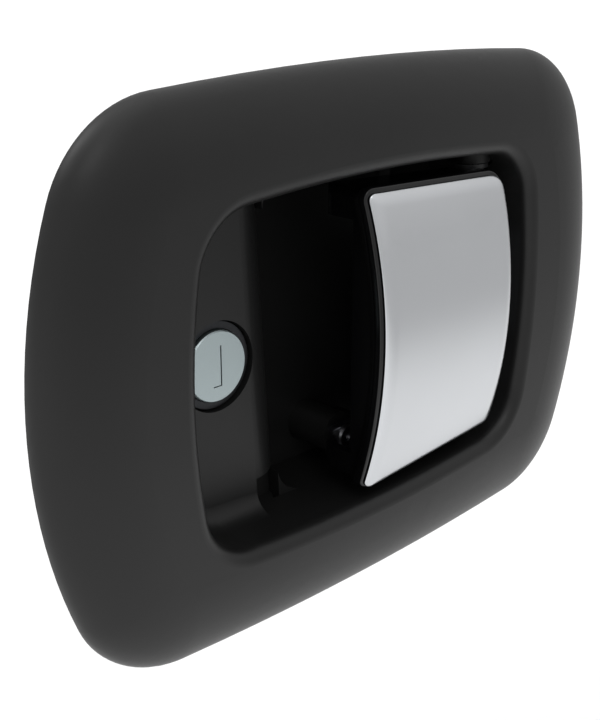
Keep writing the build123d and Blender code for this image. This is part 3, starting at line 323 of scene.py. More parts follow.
FINISHES: dict[str, Moulding | Metal | Rubber] = {
    # Glass-filled nylon from a finely sparked tool: dark, evenly satin, no fibre showing.
    "black_moulding": Moulding("satin_glass_filled_nylon", "#171717", roughness=0.40, grain_mm=0.35,
                               grain_depth_mm=0.004, specular=0.32),
    # Black ABS from a polished tool: deep and glossy, so its edges catch thin lights.
    "gloss_black": Moulding("polished_tool_abs", "#070708", roughness=0.2, grain_mm=1.2, grain_depth_mm=0.002,
                            specular=0.4),
    # Satin nickel-chrome plate over a smooth moulding: clear tone, soft reflection.
    "chrome": Metal("satin_chrome_plate", "#CFD1D4", roughness=0.24, working=Working.PLATED, mark_mm=0.6,
                    mark_depth_mm=0.0008, spread=0.015, tone=0.01),
    # Zinc plug, face-turned and nickel plated: matt and a little green-grey.
    "lock_metal": Metal("nickel_plated_zinc", "#B0BCBE", roughness=0.38, working=Working.TURNED, mark_mm=0.25,
                        mark_depth_mm=0.003),
    # Zinc casting, black passivated: near black with a faint sheen.
    "black_zinc": Metal("black_passivated_zinc", "#3A3B3D", roughness=0.45, working=Working.CAST, mark_mm=0.4,
                        mark_depth_mm=0.01, spread=0.06),
    # Hard-drawn spring wire: blue-grey, bright along its length.
    "spring_steel": Metal("drawn_spring_steel", "#8B8D92", roughness=0.32, working=Working.DRAWN, mark_mm=0.3,
                          mark_depth_mm=0.004),
    # Free-cutting steel, turned bright.
    "bright_steel": Metal("bright_turned_steel", "#A6A7AA", roughness=0.32, working=Working.TURNED,
                          mark_mm=0.3, mark_depth_mm=0.004),
    # Rolled sheet with clear zinc plate: pale, slightly blue, with rolling marks.
    "zinc_plate": Metal("clear_zinc_plated_sheet", "#A7ACB3", roughness=0.36, working=Working.ROLLED,
                        mark_mm=0.35, mark_depth_mm=0.006, spread=0.07, tone=0.07),
    # Die-cast zinc alloy as it leaves the tool: soft grey with a casting skin.
    "cast_zinc": Metal("die_cast_zinc_alloy", "#8E9093", roughness=0.45, working=Working.CAST, mark_mm=0.7,
                       mark_depth_mm=0.02, spread=0.08, tone=0.08),
    # Free-machining brass with a bright cut.
    "insert_brass": Metal("turned_brass", "#B58E4C", roughness=0.3, working=Working.TURNED, mark_mm=0.25,
                          mark_depth_mm=0.01),
    # Moulded acetal, dark grey, slightly waxy.
    "nylon": Moulding("dark_acetal", "#2A2A2C", roughness=0.4, grain_mm=0.6, grain_depth_mm=0.006, tone=0.03),
    # Moulded nitrile rubber, dull.
    "stop_rubber": Rubber("moulded_nitrile", "#161616", cell_mm=0.25, cell_depth_mm=0.01),
    # Closed-cell foam with a cut face.
    "foam_rubber": Rubber("closed_cell_foam", "#1B1B1C", cell_mm=0.5, cell_depth_mm=0.08),
}


@dataclass
class Wardrobe:
    """Makes each finish once and hands it out by its slot."""

    made: dict[str, bpy.types.Material] = field(default_factory=dict)

    def take(self, slot: str) -> bpy.types.Material:
        """The finish of a slot, made on first use.

        Args:
            slot: The record's name of the finish.

        Returns:
            Its material.
        """
        if slot not in self.made:
            self.made[slot] = FINISHES[slot].material()
        return self.made[slot]

    def dress(self, piece: bpy.types.Object, slot: str) -> None:
        """Puts a slot's finish on every material slot of a piece.

        Args:
            piece: The mesh or curve to dress.
            slot: The record's name of the finish.
        """
        material = self.take(slot)
        if not piece.material_slots:
            piece.data.materials.append(material)
        for place in piece.material_slots:
            place.material = material


# ---- wound wire --------------------------------------------------------------------------------------
@dataclass
class WireSpring:
    """Spring wound from round wire, drawn as a smooth line of points with a round section."""

    name: str
    node: str
    body: str
    wire_r: float
    steps_per_turn: int = 16
    points: list[Vector] = field(default_factory=list)

    def run_to(self, *points: Vector) -> None:
        """Adds points that the wire passes."""
        self.points.extend(points)

    def wind(self, centre: Vector, axis: Vector, start: Vector, pitch: float, turns: float) -> None:
        """Adds a coil.

        Args:
            centre: Middle of the coil's first turn.
            axis: Direction in which the coil grows.
            start: From the centre to the coil's first point.
            pitch: Advance of one turn.
            turns: Number of turns, negative to wind the other way.
        """
        steps = round(abs(turns) * self.steps_per_turn)
        across = axis.cross(start)
        for step in range(steps + 1):
            angle = 2 * math.pi * turns * step / steps
            along = axis * (pitch * abs(turns) * step / steps)
            self.points.append(centre + along + start * math.cos(angle) + across * math.sin(angle))

    def build(self, wardrobe: Wardrobe) -> bpy.types.Object:
        """Makes the wire from its points.

        Args:
            wardrobe: Where its finish comes from.

        Returns:
            The curve, riding on its body in place of its plain solid.
        """
        curve = bpy.data.curves.new(self.name, "CURVE")
        curve.dimensions = "3D"
        curve.bevel_depth = self.wire_r
        curve.bevel_resolution = 4
        curve.use_fill_caps = True
        spline = curve.splines.new("NURBS")
        spline.points.add(len(self.points) - 1)
        for point, place in zip(spline.points, self.points):
            point.co = (*place, 1.0)
        spline.order_u = 3
        spline.use_endpoint_u = True
        spline.resolution_u = 3
        piece = bpy.data.objects.new(self.name, curve)
        bpy.context.scene.collection.objects.link(piece)
        wardrobe.dress(piece, "spring_steel")
        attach(piece, self.body)
        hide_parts(self.node)
        return piece


@dataclass(frozen=True)
class Springs:
    """The paddle's torsion spring and the bolt's extension spring.

    Attributes:
        torsion_wire_r: Radius of the torsion spring's wire.
        torsion_turns: Its turns, with half a turn more so that the legs leave on opposite sides of the pin.
        short_leg: End of its short leg, in coil radii from the pin.
        bolt_wire_r: Radius of the extension spring's wire.
        bolt_coil_r: Radius of its coil, to the middle of the wire.
        bolt_pitch: Advance of a turn in wire radii, so close that the turns nearly touch.
        hook_room: Length of its hook end.
        eye_room: Length of its eye end.
        hook: The wire's way into the coil: X from the spring's end, Y from the coil's axis.
        eye: The wire's way out of the coil, measured in the same way from the other end.
    """

    torsion_wire_r: float = 0.75 * MM
    torsion_turns: float = 8.5
    short_leg: float = 3.4
    bolt_wire_r: float = 0.42 * MM
    bolt_coil_r: float = 2.15 * MM
    bolt_pitch: float = 2.05
    hook_room: float = 6.5 * MM
    eye_room: float = 7.5 * MM
    hook: tuple[tuple[float, float], ...] = (
        (0.7 * MM, -1.2 * MM), (0.7 * MM, 1.2 * MM), (1.5 * MM, 2.6 * MM), (4.9 * MM, 2.3 * MM))
    eye: tuple[tuple[float, float], ...] = ((-6.3 * MM, 0.86 * MM), (-5.3 * MM, 0.0), (0.0, 0.0))

    def build(self, wardrobe: Wardrobe) -> list[bpy.types.Object]:
        """Makes both springs inside the room of their plain solids."""
        return [self.torsion(wardrobe), self.extension(wardrobe)]

    def torsion(self, wardrobe: Wardrobe) -> bpy.types.Object:
        """The spring on the hinge pin: a close coil, a long leg to the anchor screw and a short one.

        Args:
            wardrobe: Where its finish comes from.

        Returns:
            The spring.
        """
        low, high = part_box("paddle_spring")
        joint = next(j for j in frame["joints"] if j["name"] == "paddle_hinge")
        pin = Vector((joint["pos_m"][0], joint["pos_m"][1], 0))
        wire = self.torsion_wire_r
        radius = high.x - pin.x - wire
        leg_y = pin.y + radius
        bottom, top = low.z + wire, high.z - wire
        spring = WireSpring("paddle_torsion_spring", "paddle_spring", "housing", wire)
        spring.run_to(Vector((low.x, leg_y, bottom)), Vector(((low.x + pin.x) / 2, leg_y, bottom)),
                      Vector((pin.x - radius, leg_y, bottom)))
        spring.wind(Vector((pin.x, pin.y, bottom)), Vector((0, 0, 1)), Vector((0, radius, 0)),
                    (top - bottom) / self.torsion_turns, -self.torsion_turns)
        spring.run_to(Vector((pin.x - radius, pin.y - radius, top)),
                      Vector((pin.x - self.short_leg * radius, pin.y - radius, top)))
        return spring.build(wardrobe)

    def extension(self, wardrobe: Wardrobe) -> bpy.types.Object:
        """The spring of the bolt: a close coil between two hooks.

        Args:
            wardrobe: Where its finish comes from.

        Returns:
            The spring.
        """
        low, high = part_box("bolt_spring")
        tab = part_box("bolt_bar")
        z = (low.z + high.z) / 2
        y = (tab[0].y + tab[1].y) / 2
        start, end = low.x + self.hook_room, high.x - self.eye_room
        pitch = self.bolt_pitch * self.bolt_wire_r
        turns = round((end - start) / pitch)
        spring = WireSpring("bolt_extension_spring", "bolt_spring", "housing", self.bolt_wire_r)
        spring.run_to(*(Vector((low.x + along, y + off, z)) for along, off in self.hook))
        spring.wind(Vector((start, y, z)), Vector((1, 0, 0)), Vector((0, self.bolt_coil_r, 0)), pitch, turns)
        spring.run_to(*(Vector((high.x + along, y + off, z)) for along, off in self.eye))
        LOG.info("bolt spring: %d turns", turns)
        return spring.build(wardrobe)


# ---- shaped pieces -----------------------------------------------------------------------------------
def make_piece(name: str, points: Sequence[Sequence[float]], faces: Sequence[Sequence[int]], slot: str,
               body: str, wardrobe: Wardrobe, node: str | None = None) -> bpy.types.Object:
    """Makes a smooth mesh piece that rides on a body.

    Args:
        name: The piece's name.
        points: Its vertices in metres.
        faces: Its faces as vertex numbers.
        slot: The record's name of its finish.
        body: The body that carries it.
        wardrobe: Where its finish comes from.
        node: The plain solid that it stands for, if any.

    Returns:
        The piece.
    """
    mesh = bpy.data.meshes.new(name)
    mesh.from_pydata(points, [], faces)
    shape = bmesh.new()
    shape.from_mesh(mesh)
    bmesh.ops.recalc_face_normals(shape, faces=shape.faces)
    shape.to_mesh(mesh)
    shape.free()
    mesh.shade_smooth()
    piece = bpy.data.objects.new(name, mesh)
    bpy.context.scene.collection.objects.link(piece)
    wardrobe.dress(piece, slot)
    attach(piece, body)
    if node:
        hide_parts(node)
    return piece


def make_plate(name: str, outline: Sequence[tuple[float, float]], front: float, back: float, slot: str,
               body: str, wardrobe: Wardrobe) -> bpy.types.Object:
    """Makes a plate with four corners and flat faces.

    Args:
        name: The plate's name.
        outline: X and Z of its corners, in turn.
        front: Y of its front face.
        back: Y of its back face.
        slot: The record's name of its finish.
        body: The body that carries it.
        wardrobe: Where its finish comes from.

    Returns:
        The plate.
    """
    points = [(x, y, z) for y in (front, back) for x, z in outline]
    faces = [(0, 1, 2, 3), (7, 6, 5, 4), (0, 4, 5, 1), (1, 5, 6, 2), (2, 6, 7, 3), (3, 7, 4, 0)]
    piece = make_piece(name, points, faces, slot, body, wardrobe)
    piece.data.shade_flat()
    return piece


def rounded(corners: Sequence[tuple[float, float, float]], arc_points: int, side_points: int) -> list[Vector]:
    """A closed outline with round corners.

    Args:
        corners: X, Z and radius of each corner, in turn.
        arc_points: Steps along each corner's arc.
        side_points: Steps along each side.

    Returns:
        The outline's points as (x, z).
    """
    arcs = []
    for number, (x, z, radius) in enumerate(corners):
        here = Vector((x, z))
        before = (Vector(corners[number - 1][:2]) - here).normalized()
        after = (Vector(corners[(number + 1) % len(corners)][:2]) - here).normalized()
        half = before.angle(after) / 2
        middle = here + (before + after).normalized() * (radius / math.sin(half))
        first, last = here + before * (radius / math.tan(half)), here + after * (radius / math.tan(half))
        swing = (first - middle).angle_signed(last - middle)
        arcs.append([middle + Matrix.Rotation(-swing * step / arc_points, 2) @ (first - middle)
                     for step in range(arc_points + 1)])
    outline = []
    for number, arc in enumerate(arcs):
        following = arcs[(number + 1) % len(arcs)][0]
        outline += arc
        outline += [arc[-1].lerp(following, step / side_points) for step in range(1, side_points)]
    return outline


def outward(outline: Sequence[Vector]) -> list[Vector]:
    """Directions that point out of a closed outline.

    Args:
        outline: Its points as (x, z).

    Returns:
        A unit vector for each point.
    """
    count = len(outline)
    along = [(outline[(number + 1) % count] - outline[number - 1]).normalized() for number in range(count)]
    return [Vector((-step.y, step.x)) for step in along]


def band_faces(rows: int, count: int, closed: bool = False) -> list[tuple[int, ...]]:
    """Faces between rings of points.

    Args:
        rows: Number of rings.
        count: Points in each ring.
        closed: Whether the last ring meets the first.

    Returns:
        The faces as vertex numbers.
    """
    pairs = [(row * count, (row + 1) % rows * count) for row in range(rows if closed else rows - 1)]
    return [(here + n, here + (n + 1) % count, there + (n + 1) % count, there + n)
            for here, there in pairs for n in range(count)]


def fan_faces(first: int, count: int, tip: int) -> list[tuple[int, ...]]:
    """Faces from a ring of points, numbered from first, to a single one."""
    return [(first + n, first + (n + 1) % count, tip) for n in range(count)]


def eased(value: float, start: float, end: float) -> float:
    """Smooth step from 0 at start to 1 at end."""
    share = min(1.0, max(0.0, (value - start) / (end - start)))
    return share * share * (3 - 2 * share)


@dataclass(frozen=True)
class Bend:
    """How one edge of the cover bends back: its width and its slope where it ends."""

    width: float
    slope: float


@dataclass(frozen=True)
class Paddle:
    """The handle: a chromed cover with softly bent edges, on a black moulded base.

    Attributes:
        left: X of the grip edge.
        right: X of the hinge edge.
        top_left: Height of the grip edge's upper corner.
        bottom_left: Height of its lower corner.
        top_right: Height of the hinge edge's upper corner.
        bottom_right: Height of its lower corner.
        grip_corner_r: Radius of both corners at the grip edge.
        top_corner_r: Radius of the upper corner at the hinge edge.
        foot_corner_r: Radius of the lower corner there.
        arc_points: Steps of the outline round each corner.
        side_points: Steps of the outline along each side.
        grip_bow: How far the grip edge bows out at its top.
        bow_run: How far in from the grip edge the bow fades away.
        front: Y of the crown's foremost line at front_from.
        front_from: X at which front is measured.
        lean: Fall of the front towards the hinge, per unit of X.
        crown_r: Radius of the front's crown from top to bottom.
        rim_rings: Inset and depth of each ring from the skirt to the edge of the front.
        fine_rings: Rings over the bent edges of the front.
        fine_step: Share of the way to the middle from one of them to the next.
        coarse_rings: Steps from there to the middle.
        coarse_from: Share of the outline's size at which they start.
        ledge_grip: Width of the base's ledge at the grip edge.
        ledge_top: Width of the ledge along the top.
        collar_rings: Share of the ledge's width, inset and depth of each ring round the collar.
        wall_from: X below which the base's grip wall lies.
        grip_shift: How far that wall is drawn in under the cover.
        rim_from: Height beyond which the base's upper and lower walls lie.
        rim_squeeze: Share by which they are drawn in.
        grip_bend: Bend of the cover at the grip edge.
        top_bend: Bend along the top.
        hinge_bend: Bend at the hinge edge.
        foot_bend: Bend along the bottom.
    """

    left: float = -4.25 * MM
    right: float = 41.8 * MM
    top_left: float = 33.2 * MM
    bottom_left: float = -34.4 * MM
    top_right: float = 30.9 * MM
    bottom_right: float = -31.5 * MM
    grip_corner_r: float = 1.6 * MM
    top_corner_r: float = 4.6 * MM
    foot_corner_r: float = 3.0 * MM
    arc_points: int = 8
    side_points: int = 26
    grip_bow: float = 0.75 * MM
    bow_run: float = 12.0 * MM
    front: float = -13.5 * MM
    front_from: float = -5.9 * MM
    lean: float = 0.0375
    crown_r: float = 106.0 * MM
    rim_rings: tuple[tuple[float, float], ...] = (
        (0.9 * MM, 1.6 * MM), (0.2 * MM, 0.3 * MM), (0.0, 0.03 * MM), (0.05 * MM, 0.0))
    fine_rings: int = 13
    fine_step: float = 0.012
    coarse_rings: int = 15
    coarse_from: float = 0.84
    ledge_grip: float = 1.15 * MM
    ledge_top: float = 1.35 * MM
    collar_rings: tuple[tuple[float, float, float], ...] = (
        (0.0, 0.7 * MM, 0.6 * MM), (0.0, 0.15 * MM, 0.35 * MM), (0.3, 0.15 * MM, 0.4 * MM),
        (0.6, 0.15 * MM, 0.42 * MM), (0.8, 0.15 * MM, 0.46 * MM), (0.93, 0.15 * MM, 0.6 * MM),
        (1.0, 0.15 * MM, 0.8 * MM), (1.0, 0.15 * MM, 1.8 * MM), (1.0, 0.15 * MM, 3.5 * MM),
        (0.0, 0.7 * MM, 3.5 * MM))
    wall_from: float = -2.0 * MM
    grip_shift: float = 2.5 * MM
    rim_from: float = 28.0 * MM
    rim_squeeze: float = 0.028
    grip_bend: Bend = Bend(3.2 * MM, math.radians(44))
    top_bend: Bend = Bend(3.0 * MM, math.radians(24))
    hinge_bend: Bend = Bend(2.4 * MM, math.radians(24))
    foot_bend: Bend = Bend(1.0 * MM, math.radians(30))

    def build(self, wardrobe: Wardrobe) -> list[bpy.types.Object]:
        """Makes the cover, the collar and the base."""
        return [self.cover(wardrobe), self.collar(wardrobe), self.base(wardrobe)]

    def outline(self) -> list[Vector]:
        """The cover's outline: small corners at the grip edge and large ones at the hinge.

        Returns:
            Its points as (x, z).
        """
        corners = [(self.left, self.bottom_left, self.grip_corner_r),
                   (self.left, self.top_left, self.grip_corner_r),
                   (self.right, self.top_right, self.top_corner_r),
                   (self.right, self.bottom_right, self.foot_corner_r)]
        points = rounded(corners, self.arc_points, self.side_points)
        for point in points:
            point.x -= self.bow(point.x, point.y)
        return points

    def bow(self, x: float, z: float) -> float:
        """How far the upper half of the grip edge bows out near a place."""
        near = 1 - eased(x, self.left, self.left + self.bow_run)
        return near * self.grip_bow * max(0.0, z / self.top_left) ** 2

    def surface(self, x: float, z: float) -> float:
        """Y of the cover's front at a place, before its edges bend back."""
        axis = self.front + self.crown_r + (x - self.front_from) * self.lean
        return axis - math.sqrt(self.crown_r ** 2 - z ** 2)

    def limits(self, x: float) -> tuple[float, float]:
        """Heights of the cover's edges at a place along it.

        Args:
            x: The place.

        Returns:
            Z of the lower and of the upper edge.
        """
        share = (x - self.left) / (self.right - self.left)
        return (self.bottom_left + (self.bottom_right - self.bottom_left) * share,
                self.top_left + (self.top_right - self.top_left) * share)

    def fall(self, distance: float, bend: Bend) -> float:
        """How far a bent edge lies behind the front.

        Args:
            distance: From the cover's edge inwards.
            bend: The edge's bend.

        Returns:
            The depth.
        """
        if distance >= bend.width:
            return 0.0
        radius = bend.width / math.sin(bend.slope)
        run = bend.width - max(0.0, distance)
        return radius - math.sqrt(radius ** 2 - run ** 2)

    def front_point(self, x: float, z: float) -> Vector:
        """A point of the cover's front with all bends taken in.

        Args:
            x: Its place along the cover.
            z: Its height.

        Returns:
            The point.
        """
        low, high = self.limits(x)
        falls = (self.fall(x - self.left + self.bow(x, z), self.grip_bend),
                 self.fall(self.right - x, self.hinge_bend), self.fall(high - z, self.top_bend),
                 self.fall(z - low, self.foot_bend))
        depth = sum(value ** 2 for value in falls) ** 0.5
        return Vector((x, self.surface(x, z) + depth, z))

    def ring(self, outline: Sequence[Vector], inset: float, depth: float) -> list[Vector]:
        """One ring of the cover.

        Args:
            outline: Its outline.
            inset: How far the ring lies inside it.
            depth: How far it lies behind the bent front.

        Returns:
            The ring's points.
        """
        places = [here - out * inset for here, out in zip(outline, outward(outline))]
        return [self.front_point(place.x, place.y) + Vector((0, depth, 0)) for place in places]

    def cover(self, wardrobe: Wardrobe) -> bpy.types.Object:
        """The chromed cover as rings from its skirt over the edge to its middle, closed at the back.

        Args:
            wardrobe: Where its finish comes from.

        Returns:
            The cover.
        """
        outline = self.outline()
        rings = [self.ring(outline, inset, depth) for inset, depth in self.rim_rings]
        middle = Vector(((self.left + self.right) / 2, 0))
        inner = [Vector((point.x, point.z)) for point in rings[-1]]
        shares = [1 - self.fine_step * n for n in range(1, self.fine_rings + 1)]
        shares += [self.coarse_from * (1 - n / self.coarse_rings) for n in range(1, self.coarse_rings)]
        for share in shares:
            rings.append([self.front_point(*(middle + (point - middle) * share)) for point in inner])
        crown = self.front_point(*middle)
        skirt_depth = self.rim_rings[0][1]
        points = [point for ring in rings for point in ring] + [crown, crown + Vector((0, skirt_depth, 0))]
        count = len(outline)
        front_tip, back_tip = len(points) - 2, len(points) - 1
        faces = band_faces(len(rings), count)
        faces += fan_faces((len(rings) - 1) * count, count, front_tip) + fan_faces(0, count, back_tip)
        return make_piece("chrome_cover", points, faces, "chrome", "paddle", wardrobe, "paddle_cover")

    def ledge(self, outline: Sequence[Vector], reach: float, inset: float, depth: float) -> list[Vector]:
        """One ring of the base's ledge, which stands out at the grip edge and along the top only.

        Args:
            outline: The cover's outline.
            reach: Share of the ledge's whole width, from 0 at the cover's edge.
            inset: How far the ledge's root lies inside the outline.
            depth: How far the ring lies behind the cover's edge.

        Returns:
            The ring's points.
        """
        points = []
        for here, out in zip(outline, outward(outline)):
            width = self.ledge_grip * max(0.0, -out.x) ** 2 + self.ledge_top * max(0.0, out.y) ** 2
            shift = out * (width * reach - inset)
            points.append(self.front_point(here.x, here.y) + Vector((shift.x, depth, shift.y)))
        return points

    def collar(self, wardrobe: Wardrobe) -> bpy.types.Object:
        """The base's collar below the cover's edge, with its ledge.

        Args:
            wardrobe: Where its finish comes from.

        Returns:
            The collar.
        """
        outline = self.outline()
        rings = [self.ledge(outline, reach, inset, depth) for reach, inset, depth in self.collar_rings]
        points = [point for ring in rings for point in ring]
        faces = band_faces(len(rings), len(outline), closed=True)
        return make_piece("base_collar", points, faces, "gloss_black", "paddle", wardrobe)

    def base(self, wardrobe: Wardrobe) -> bpy.types.Object:
        """The base with its walls drawn in under the cover's bent edges.

        Args:
            wardrobe: Where its finish comes from.

        Returns:
            The base.
        """
        source = frame["nodes"]["paddle_base"]
        mesh = source.data.copy()
        mesh.name = "moulded_base"
        to_part = source.matrix_world
        to_mesh = to_part.inverted()
        for vertex in mesh.vertices:
            place = to_part @ vertex.co
            if place.x < self.wall_from:
                place.x += self.grip_shift
            if abs(place.z) > self.rim_from:
                place.z *= 1 - self.rim_squeeze
            vertex.co = to_mesh @ place
        piece = bpy.data.objects.new("moulded_base", mesh)
        piece.matrix_world = to_part
        bpy.context.scene.collection.objects.link(piece)
        wardrobe.dress(piece, "gloss_black")
        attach(piece, "paddle")
        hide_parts("paddle_base")
        return piece


@dataclass(frozen=True)
class KeyShutter:
    """Sprung flap that keeps dust out of the keyway; the key pushes it in.

    Attributes:
        x: Middle of the keyway.
        half_width: Half the keyway's width.
        half_height: Half the keyway's height.
        face_y: Y of the plug's face.
        recess: How far the flap lies behind that face.
        thickness: The flap's own thickness.
        left_gap: Room between the flap and the keyway at the left.
        right_gap: Room at the right, where it shows as a dark line.
        bottom_gap: Room at the bottom.
        top_gap: Room at the top.
    """

    x: float = -36.0 * MM
    half_width: float = 1.15 * MM
    half_height: float = 4.45 * MM
    face_y: float = 5.8 * MM
    recess: float = 0.18 * MM
    thickness: float = 0.7 * MM
    left_gap: float = 0.02 * MM
    right_gap: float = 0.16 * MM
    bottom_gap: float = 0.14 * MM
    top_gap: float = 0.03 * MM

    def build(self, wardrobe: Wardrobe) -> list[bpy.types.Object]:
        """Makes the flap, a little below the plug's face.

        Args:
            wardrobe: Where its finish comes from.

        Returns:
            The flap.
        """
        left, right = self.x - self.half_width + self.left_gap, self.x + self.half_width - self.right_gap
        bottom, top = self.bottom_gap - self.half_height, self.half_height - self.top_gap
        front = self.face_y + self.recess
        outline = ((left, bottom), (right, bottom), (right, top), (left, top))
        back = front + self.thickness
        return [make_plate("key_shutter", outline, front, back, "lock_metal", "lock", wardrobe)]


@dataclass(frozen=True)
class CornerWeb:
    """Small web that closes the corner between the shelf's skirt and the pan.

    Attributes:
        low: Its least X, Y and Z.
        high: Its greatest X, Y and Z.
        tip_height: Height to which it tapers at its right end.
    """

    low: tuple[float, float, float] = (-18.5 * MM, 11.6 * MM, -40.4 * MM)
    high: tuple[float, float, float] = (-12.8 * MM, 12.8 * MM, -35.6 * MM)
    tip_height: float = 1.5 * MM

    def build(self, wardrobe: Wardrobe) -> list[bpy.types.Object]:
        """Makes the web as a tapering plate.

        Args:
            wardrobe: Where its finish comes from.

        Returns:
            The web.
        """
        (left, front, bottom), (right, back, top) = self.low, self.high
        outline = ((left, bottom), (right, bottom), (right, bottom + self.tip_height), (left, top))
        return [make_plate("corner_web", outline, front, back, "black_moulding", "housing", wardrobe)]


# ---- studio ------------------------------------------------------------------------------------------
@dataclass(frozen=True)
class Softbox:
    """One soft round light in the dome.

    Attributes:
        toward: Where it hangs, as a direction from the latch.
        wide: Degrees from its middle to where its light ends.
        strength: Its brightness in the middle.
    """

    toward: tuple[float, float, float]
    wide: float
    strength: float


@dataclass(frozen=True)
class Studio:
    """Plain pale floor with painted light: its own glow, brighter behind the latch, stands in for a lamp
    lighting it; under a soft dome of light.

    Attributes:
        floor_drop: Depth of the floor below the latch.
        floor_half: Half the floor's width.
        paper_mm: Size of the clouds in the floor's paper.
        paper_tone: The paper's mean grey.
        paper_change: How far it strays from that.
        painted_glow_front: The floor's own glow in front of the latch, painted light.
        painted_glow_behind: Its own glow behind it, painted light in place of a lamp on the paper.
        glow_toward: Direction along the floor in which the painted glow brightens.
        glow_from: Where the painted brightening begins, along that direction.
        glow_to: Where it ends.
        softboxes: The lights in the dome.
        dome: Sine of the height and grey of each tone of the dome.
    """

    floor_drop: float = 0.055
    floor_half: float = 40.0
    paper_mm: float = 4.0
    paper_tone: float = 0.30
    paper_change: float = 0.01
    # Painted light: the floor glows dimly in front of the latch and brightly behind it, in place of a lamp.
    painted_glow_front: float = 0.17
    painted_glow_behind: float = 0.71
    glow_toward: tuple[float, float, float] = (-0.514, 0.857, 0.0)
    glow_from: float = -0.47
    glow_to: float = -0.06
    softboxes: tuple[Softbox, ...] = (Softbox((-0.42, 0.38, 0.82), wide=22.0, strength=3.2),
                                      Softbox((-0.33, -0.62, 0.71), wide=13.0, strength=2.6))
    dome: tuple[tuple[float, float], ...] = ((0.0, 0.55), (0.12, 0.64), (0.5, 0.85), (0.8, 0.85), (0.95, 1.6))

    def build(self) -> None:
        """Makes the floor and the dome."""
        self.lay_floor()
        self.light_dome()

    def lay_floor(self) -> None:
        """A wide sheet below the latch whose painted glow, brighter behind it, stands in for the light on a
        studio's paper sweep.
        """
        level, half = CAD_BOX[0].z - self.floor_drop, self.floor_half
        mesh = bpy.data.meshes.new("floor")
        corners = [(x, y, level) for x, y in ((-half, -half), (half, -half), (half, half), (-half, half))]
        mesh.from_pydata(corners, [], [(0, 1, 2, 3)])
        piece = bpy.data.objects.new("floor", mesh)
        bpy.context.scene.collection.objects.link(piece)
        material, tree, shader = shader_tree("pale_floor_painted_glow")
        place = add_node(tree, "ShaderNodeTexCoord").outputs["Object"]
        paper = add_node(tree, "ShaderNodeTexNoise", links={"Vector": place},
                         inputs={"Scale": per_metre(self.paper_mm)})
        tone = add_node(tree, "ShaderNodeValToRGB", links={"Fac": paper.outputs["Fac"]},
                        stops=greys(self.paper_tone, self.paper_change))
        across = add_node(tree, "ShaderNodeVectorMath", links={0: place}, inputs={1: self.glow_toward},
                          operation="DOT_PRODUCT")
        # Painted light: the floor's emission rises from in front of the latch to behind it, standing in for a
        # lamp.
        painted_glow = add_node(tree, "ShaderNodeMapRange", links={"Value": across.outputs["Value"]},
                       inputs={"From Min": self.glow_from, "From Max": self.glow_to,
                               "To Min": self.painted_glow_front, "To Max": self.painted_glow_behind},
                       interpolation_type="SMOOTHSTEP")
        tree.links.new(tone.outputs["Color"], shader.inputs["Base Color"])
        tree.links.new(painted_glow.outputs["Result"], shader.inputs["Emission Strength"])
        shader.inputs["Roughness"].default_value = 0.9
        shader.inputs["Emission Color"].default_value = grey(1.0)
        mesh.materials.append(material)

    def light_dome(self) -> None:
        """Light from all round: even at the sides and brightest overhead."""
        world = bpy.data.worlds.new("studio_dome")
        bpy.context.scene.world = world
        world.use_nodes = True
        tree = world.node_tree
        tree.nodes.clear()
        place = add_node(tree, "ShaderNodeTexCoord").outputs["Generated"]
        height = add_node(tree, "ShaderNodeSeparateXYZ", links={"Vector": place}).outputs["Z"]
        sky = add_node(tree, "ShaderNodeValToRGB", links={"Fac": height},
                       stops=[(rise, grey(tone)) for rise, tone in self.dome])
        light = add_node(tree, "ShaderNodeBackground", links={"Color": sky.outputs["Color"]},
                         inputs={"Strength": 1.0}).outputs["Background"]
        for box in self.softboxes:
            near = add_node(tree, "ShaderNodeVectorMath", links={0: place}, inputs={1: box.toward},
                            operation="DOT_PRODUCT")
            rim, core = math.cos(math.radians(box.wide)), math.cos(math.radians(box.wide / 2))
            glow = add_node(tree, "ShaderNodeMapRange", links={"Value": near.outputs["Value"]},
                            inputs={"From Min": rim, "From Max": core, "To Min": 0.0, "To Max": box.strength},
                            interpolation_type="SMOOTHSTEP")
            lamp = add_node(tree, "ShaderNodeBackground", links={"Strength": glow.outputs["Result"]},
                            inputs={"Color": grey(1.0)})
            both = add_node(tree, "ShaderNodeAddShader", links={0: light, 1: lamp.outputs["Background"]})
            light = both.outputs[0]
        add_node(tree, "ShaderNodeOutputWorld", links={"Surface": light})


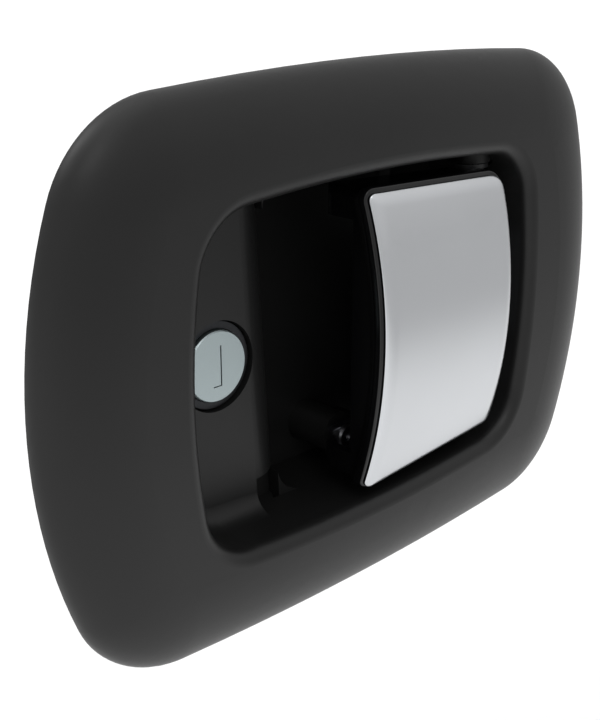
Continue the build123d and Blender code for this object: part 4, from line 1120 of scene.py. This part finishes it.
@dataclass(frozen=True)
class ViewCamera:
    """Camera to the left of the latch and above it.

    Attributes:
        place: Where it stands.
        azimuth: Degrees that it looks to the right of +Y.
        elevation: Degrees that it looks down.
        roll: Degrees that it is tilted about its own axis.
        lens: Focal length in mm.
        sensor: Width of its sensor in mm.
    """

    place: tuple[float, float, float] = (-182.2 * MM, -166.6 * MM, 84.2 * MM)
    azimuth: float = 44.6
    elevation: float = 20.15
    roll: float = -0.07
    lens: float = 58.49
    sensor: float = 36.0

    def build(self) -> bpy.types.Object:
        """Makes the camera and hands it to the scene.

        Returns:
            The camera.
        """
        turn, drop = math.radians(self.azimuth), math.radians(self.elevation)
        aim = Vector((math.cos(drop) * math.sin(turn), math.cos(drop) * math.cos(turn), -math.sin(drop)))
        data = bpy.data.cameras.new("view_camera")
        data.lens = self.lens
        data.sensor_width = self.sensor
        data.sensor_fit = "AUTO"
        camera = bpy.data.objects.new("view_camera", data)
        tilt = Matrix.Rotation(math.radians(self.roll), 4, "Z")
        turned = aim.to_track_quat("-Z", "Y").to_matrix().to_4x4() @ tilt
        camera.matrix_world = Matrix.Translation(Vector(self.place)) @ turned
        bpy.context.scene.collection.objects.link(camera)
        bpy.context.scene.camera = camera
        bpy.context.scene.view_settings.view_transform = "Standard"
        return camera


# ---- the latch ---------------------------------------------------------------------------------------
def slot_of(piece: bpy.types.Object) -> str:
    """The record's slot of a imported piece, from the name of its plain material."""
    return piece.material_slots[0].material.name.split(".")[0]


def dress_packed_pieces(wardrobe: Wardrobe) -> None:
    """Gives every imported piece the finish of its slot.

    Args:
        wardrobe: Where the finishes come from.
    """
    for name, piece in frame["nodes"].items():
        slot = slot_of(piece)
        wardrobe.dress(piece, slot)
        LOG.info("%s: %s", name, slot)


def main() -> None:
    """Builds the latch's looks, piece by piece, then the studio."""
    logging.basicConfig(level=logging.INFO, format="%(message)s")
    wardrobe = Wardrobe()
    ViewCamera().build()
    dress_packed_pieces(wardrobe)
    for assembly in (Springs(), Paddle(), KeyShutter(), CornerWeb()):
        for piece in assembly.build(wardrobe):
            LOG.info("%s made %s", type(assembly).__name__, piece.name)
    Studio().build()


if __name__ == "__main__":
    main()
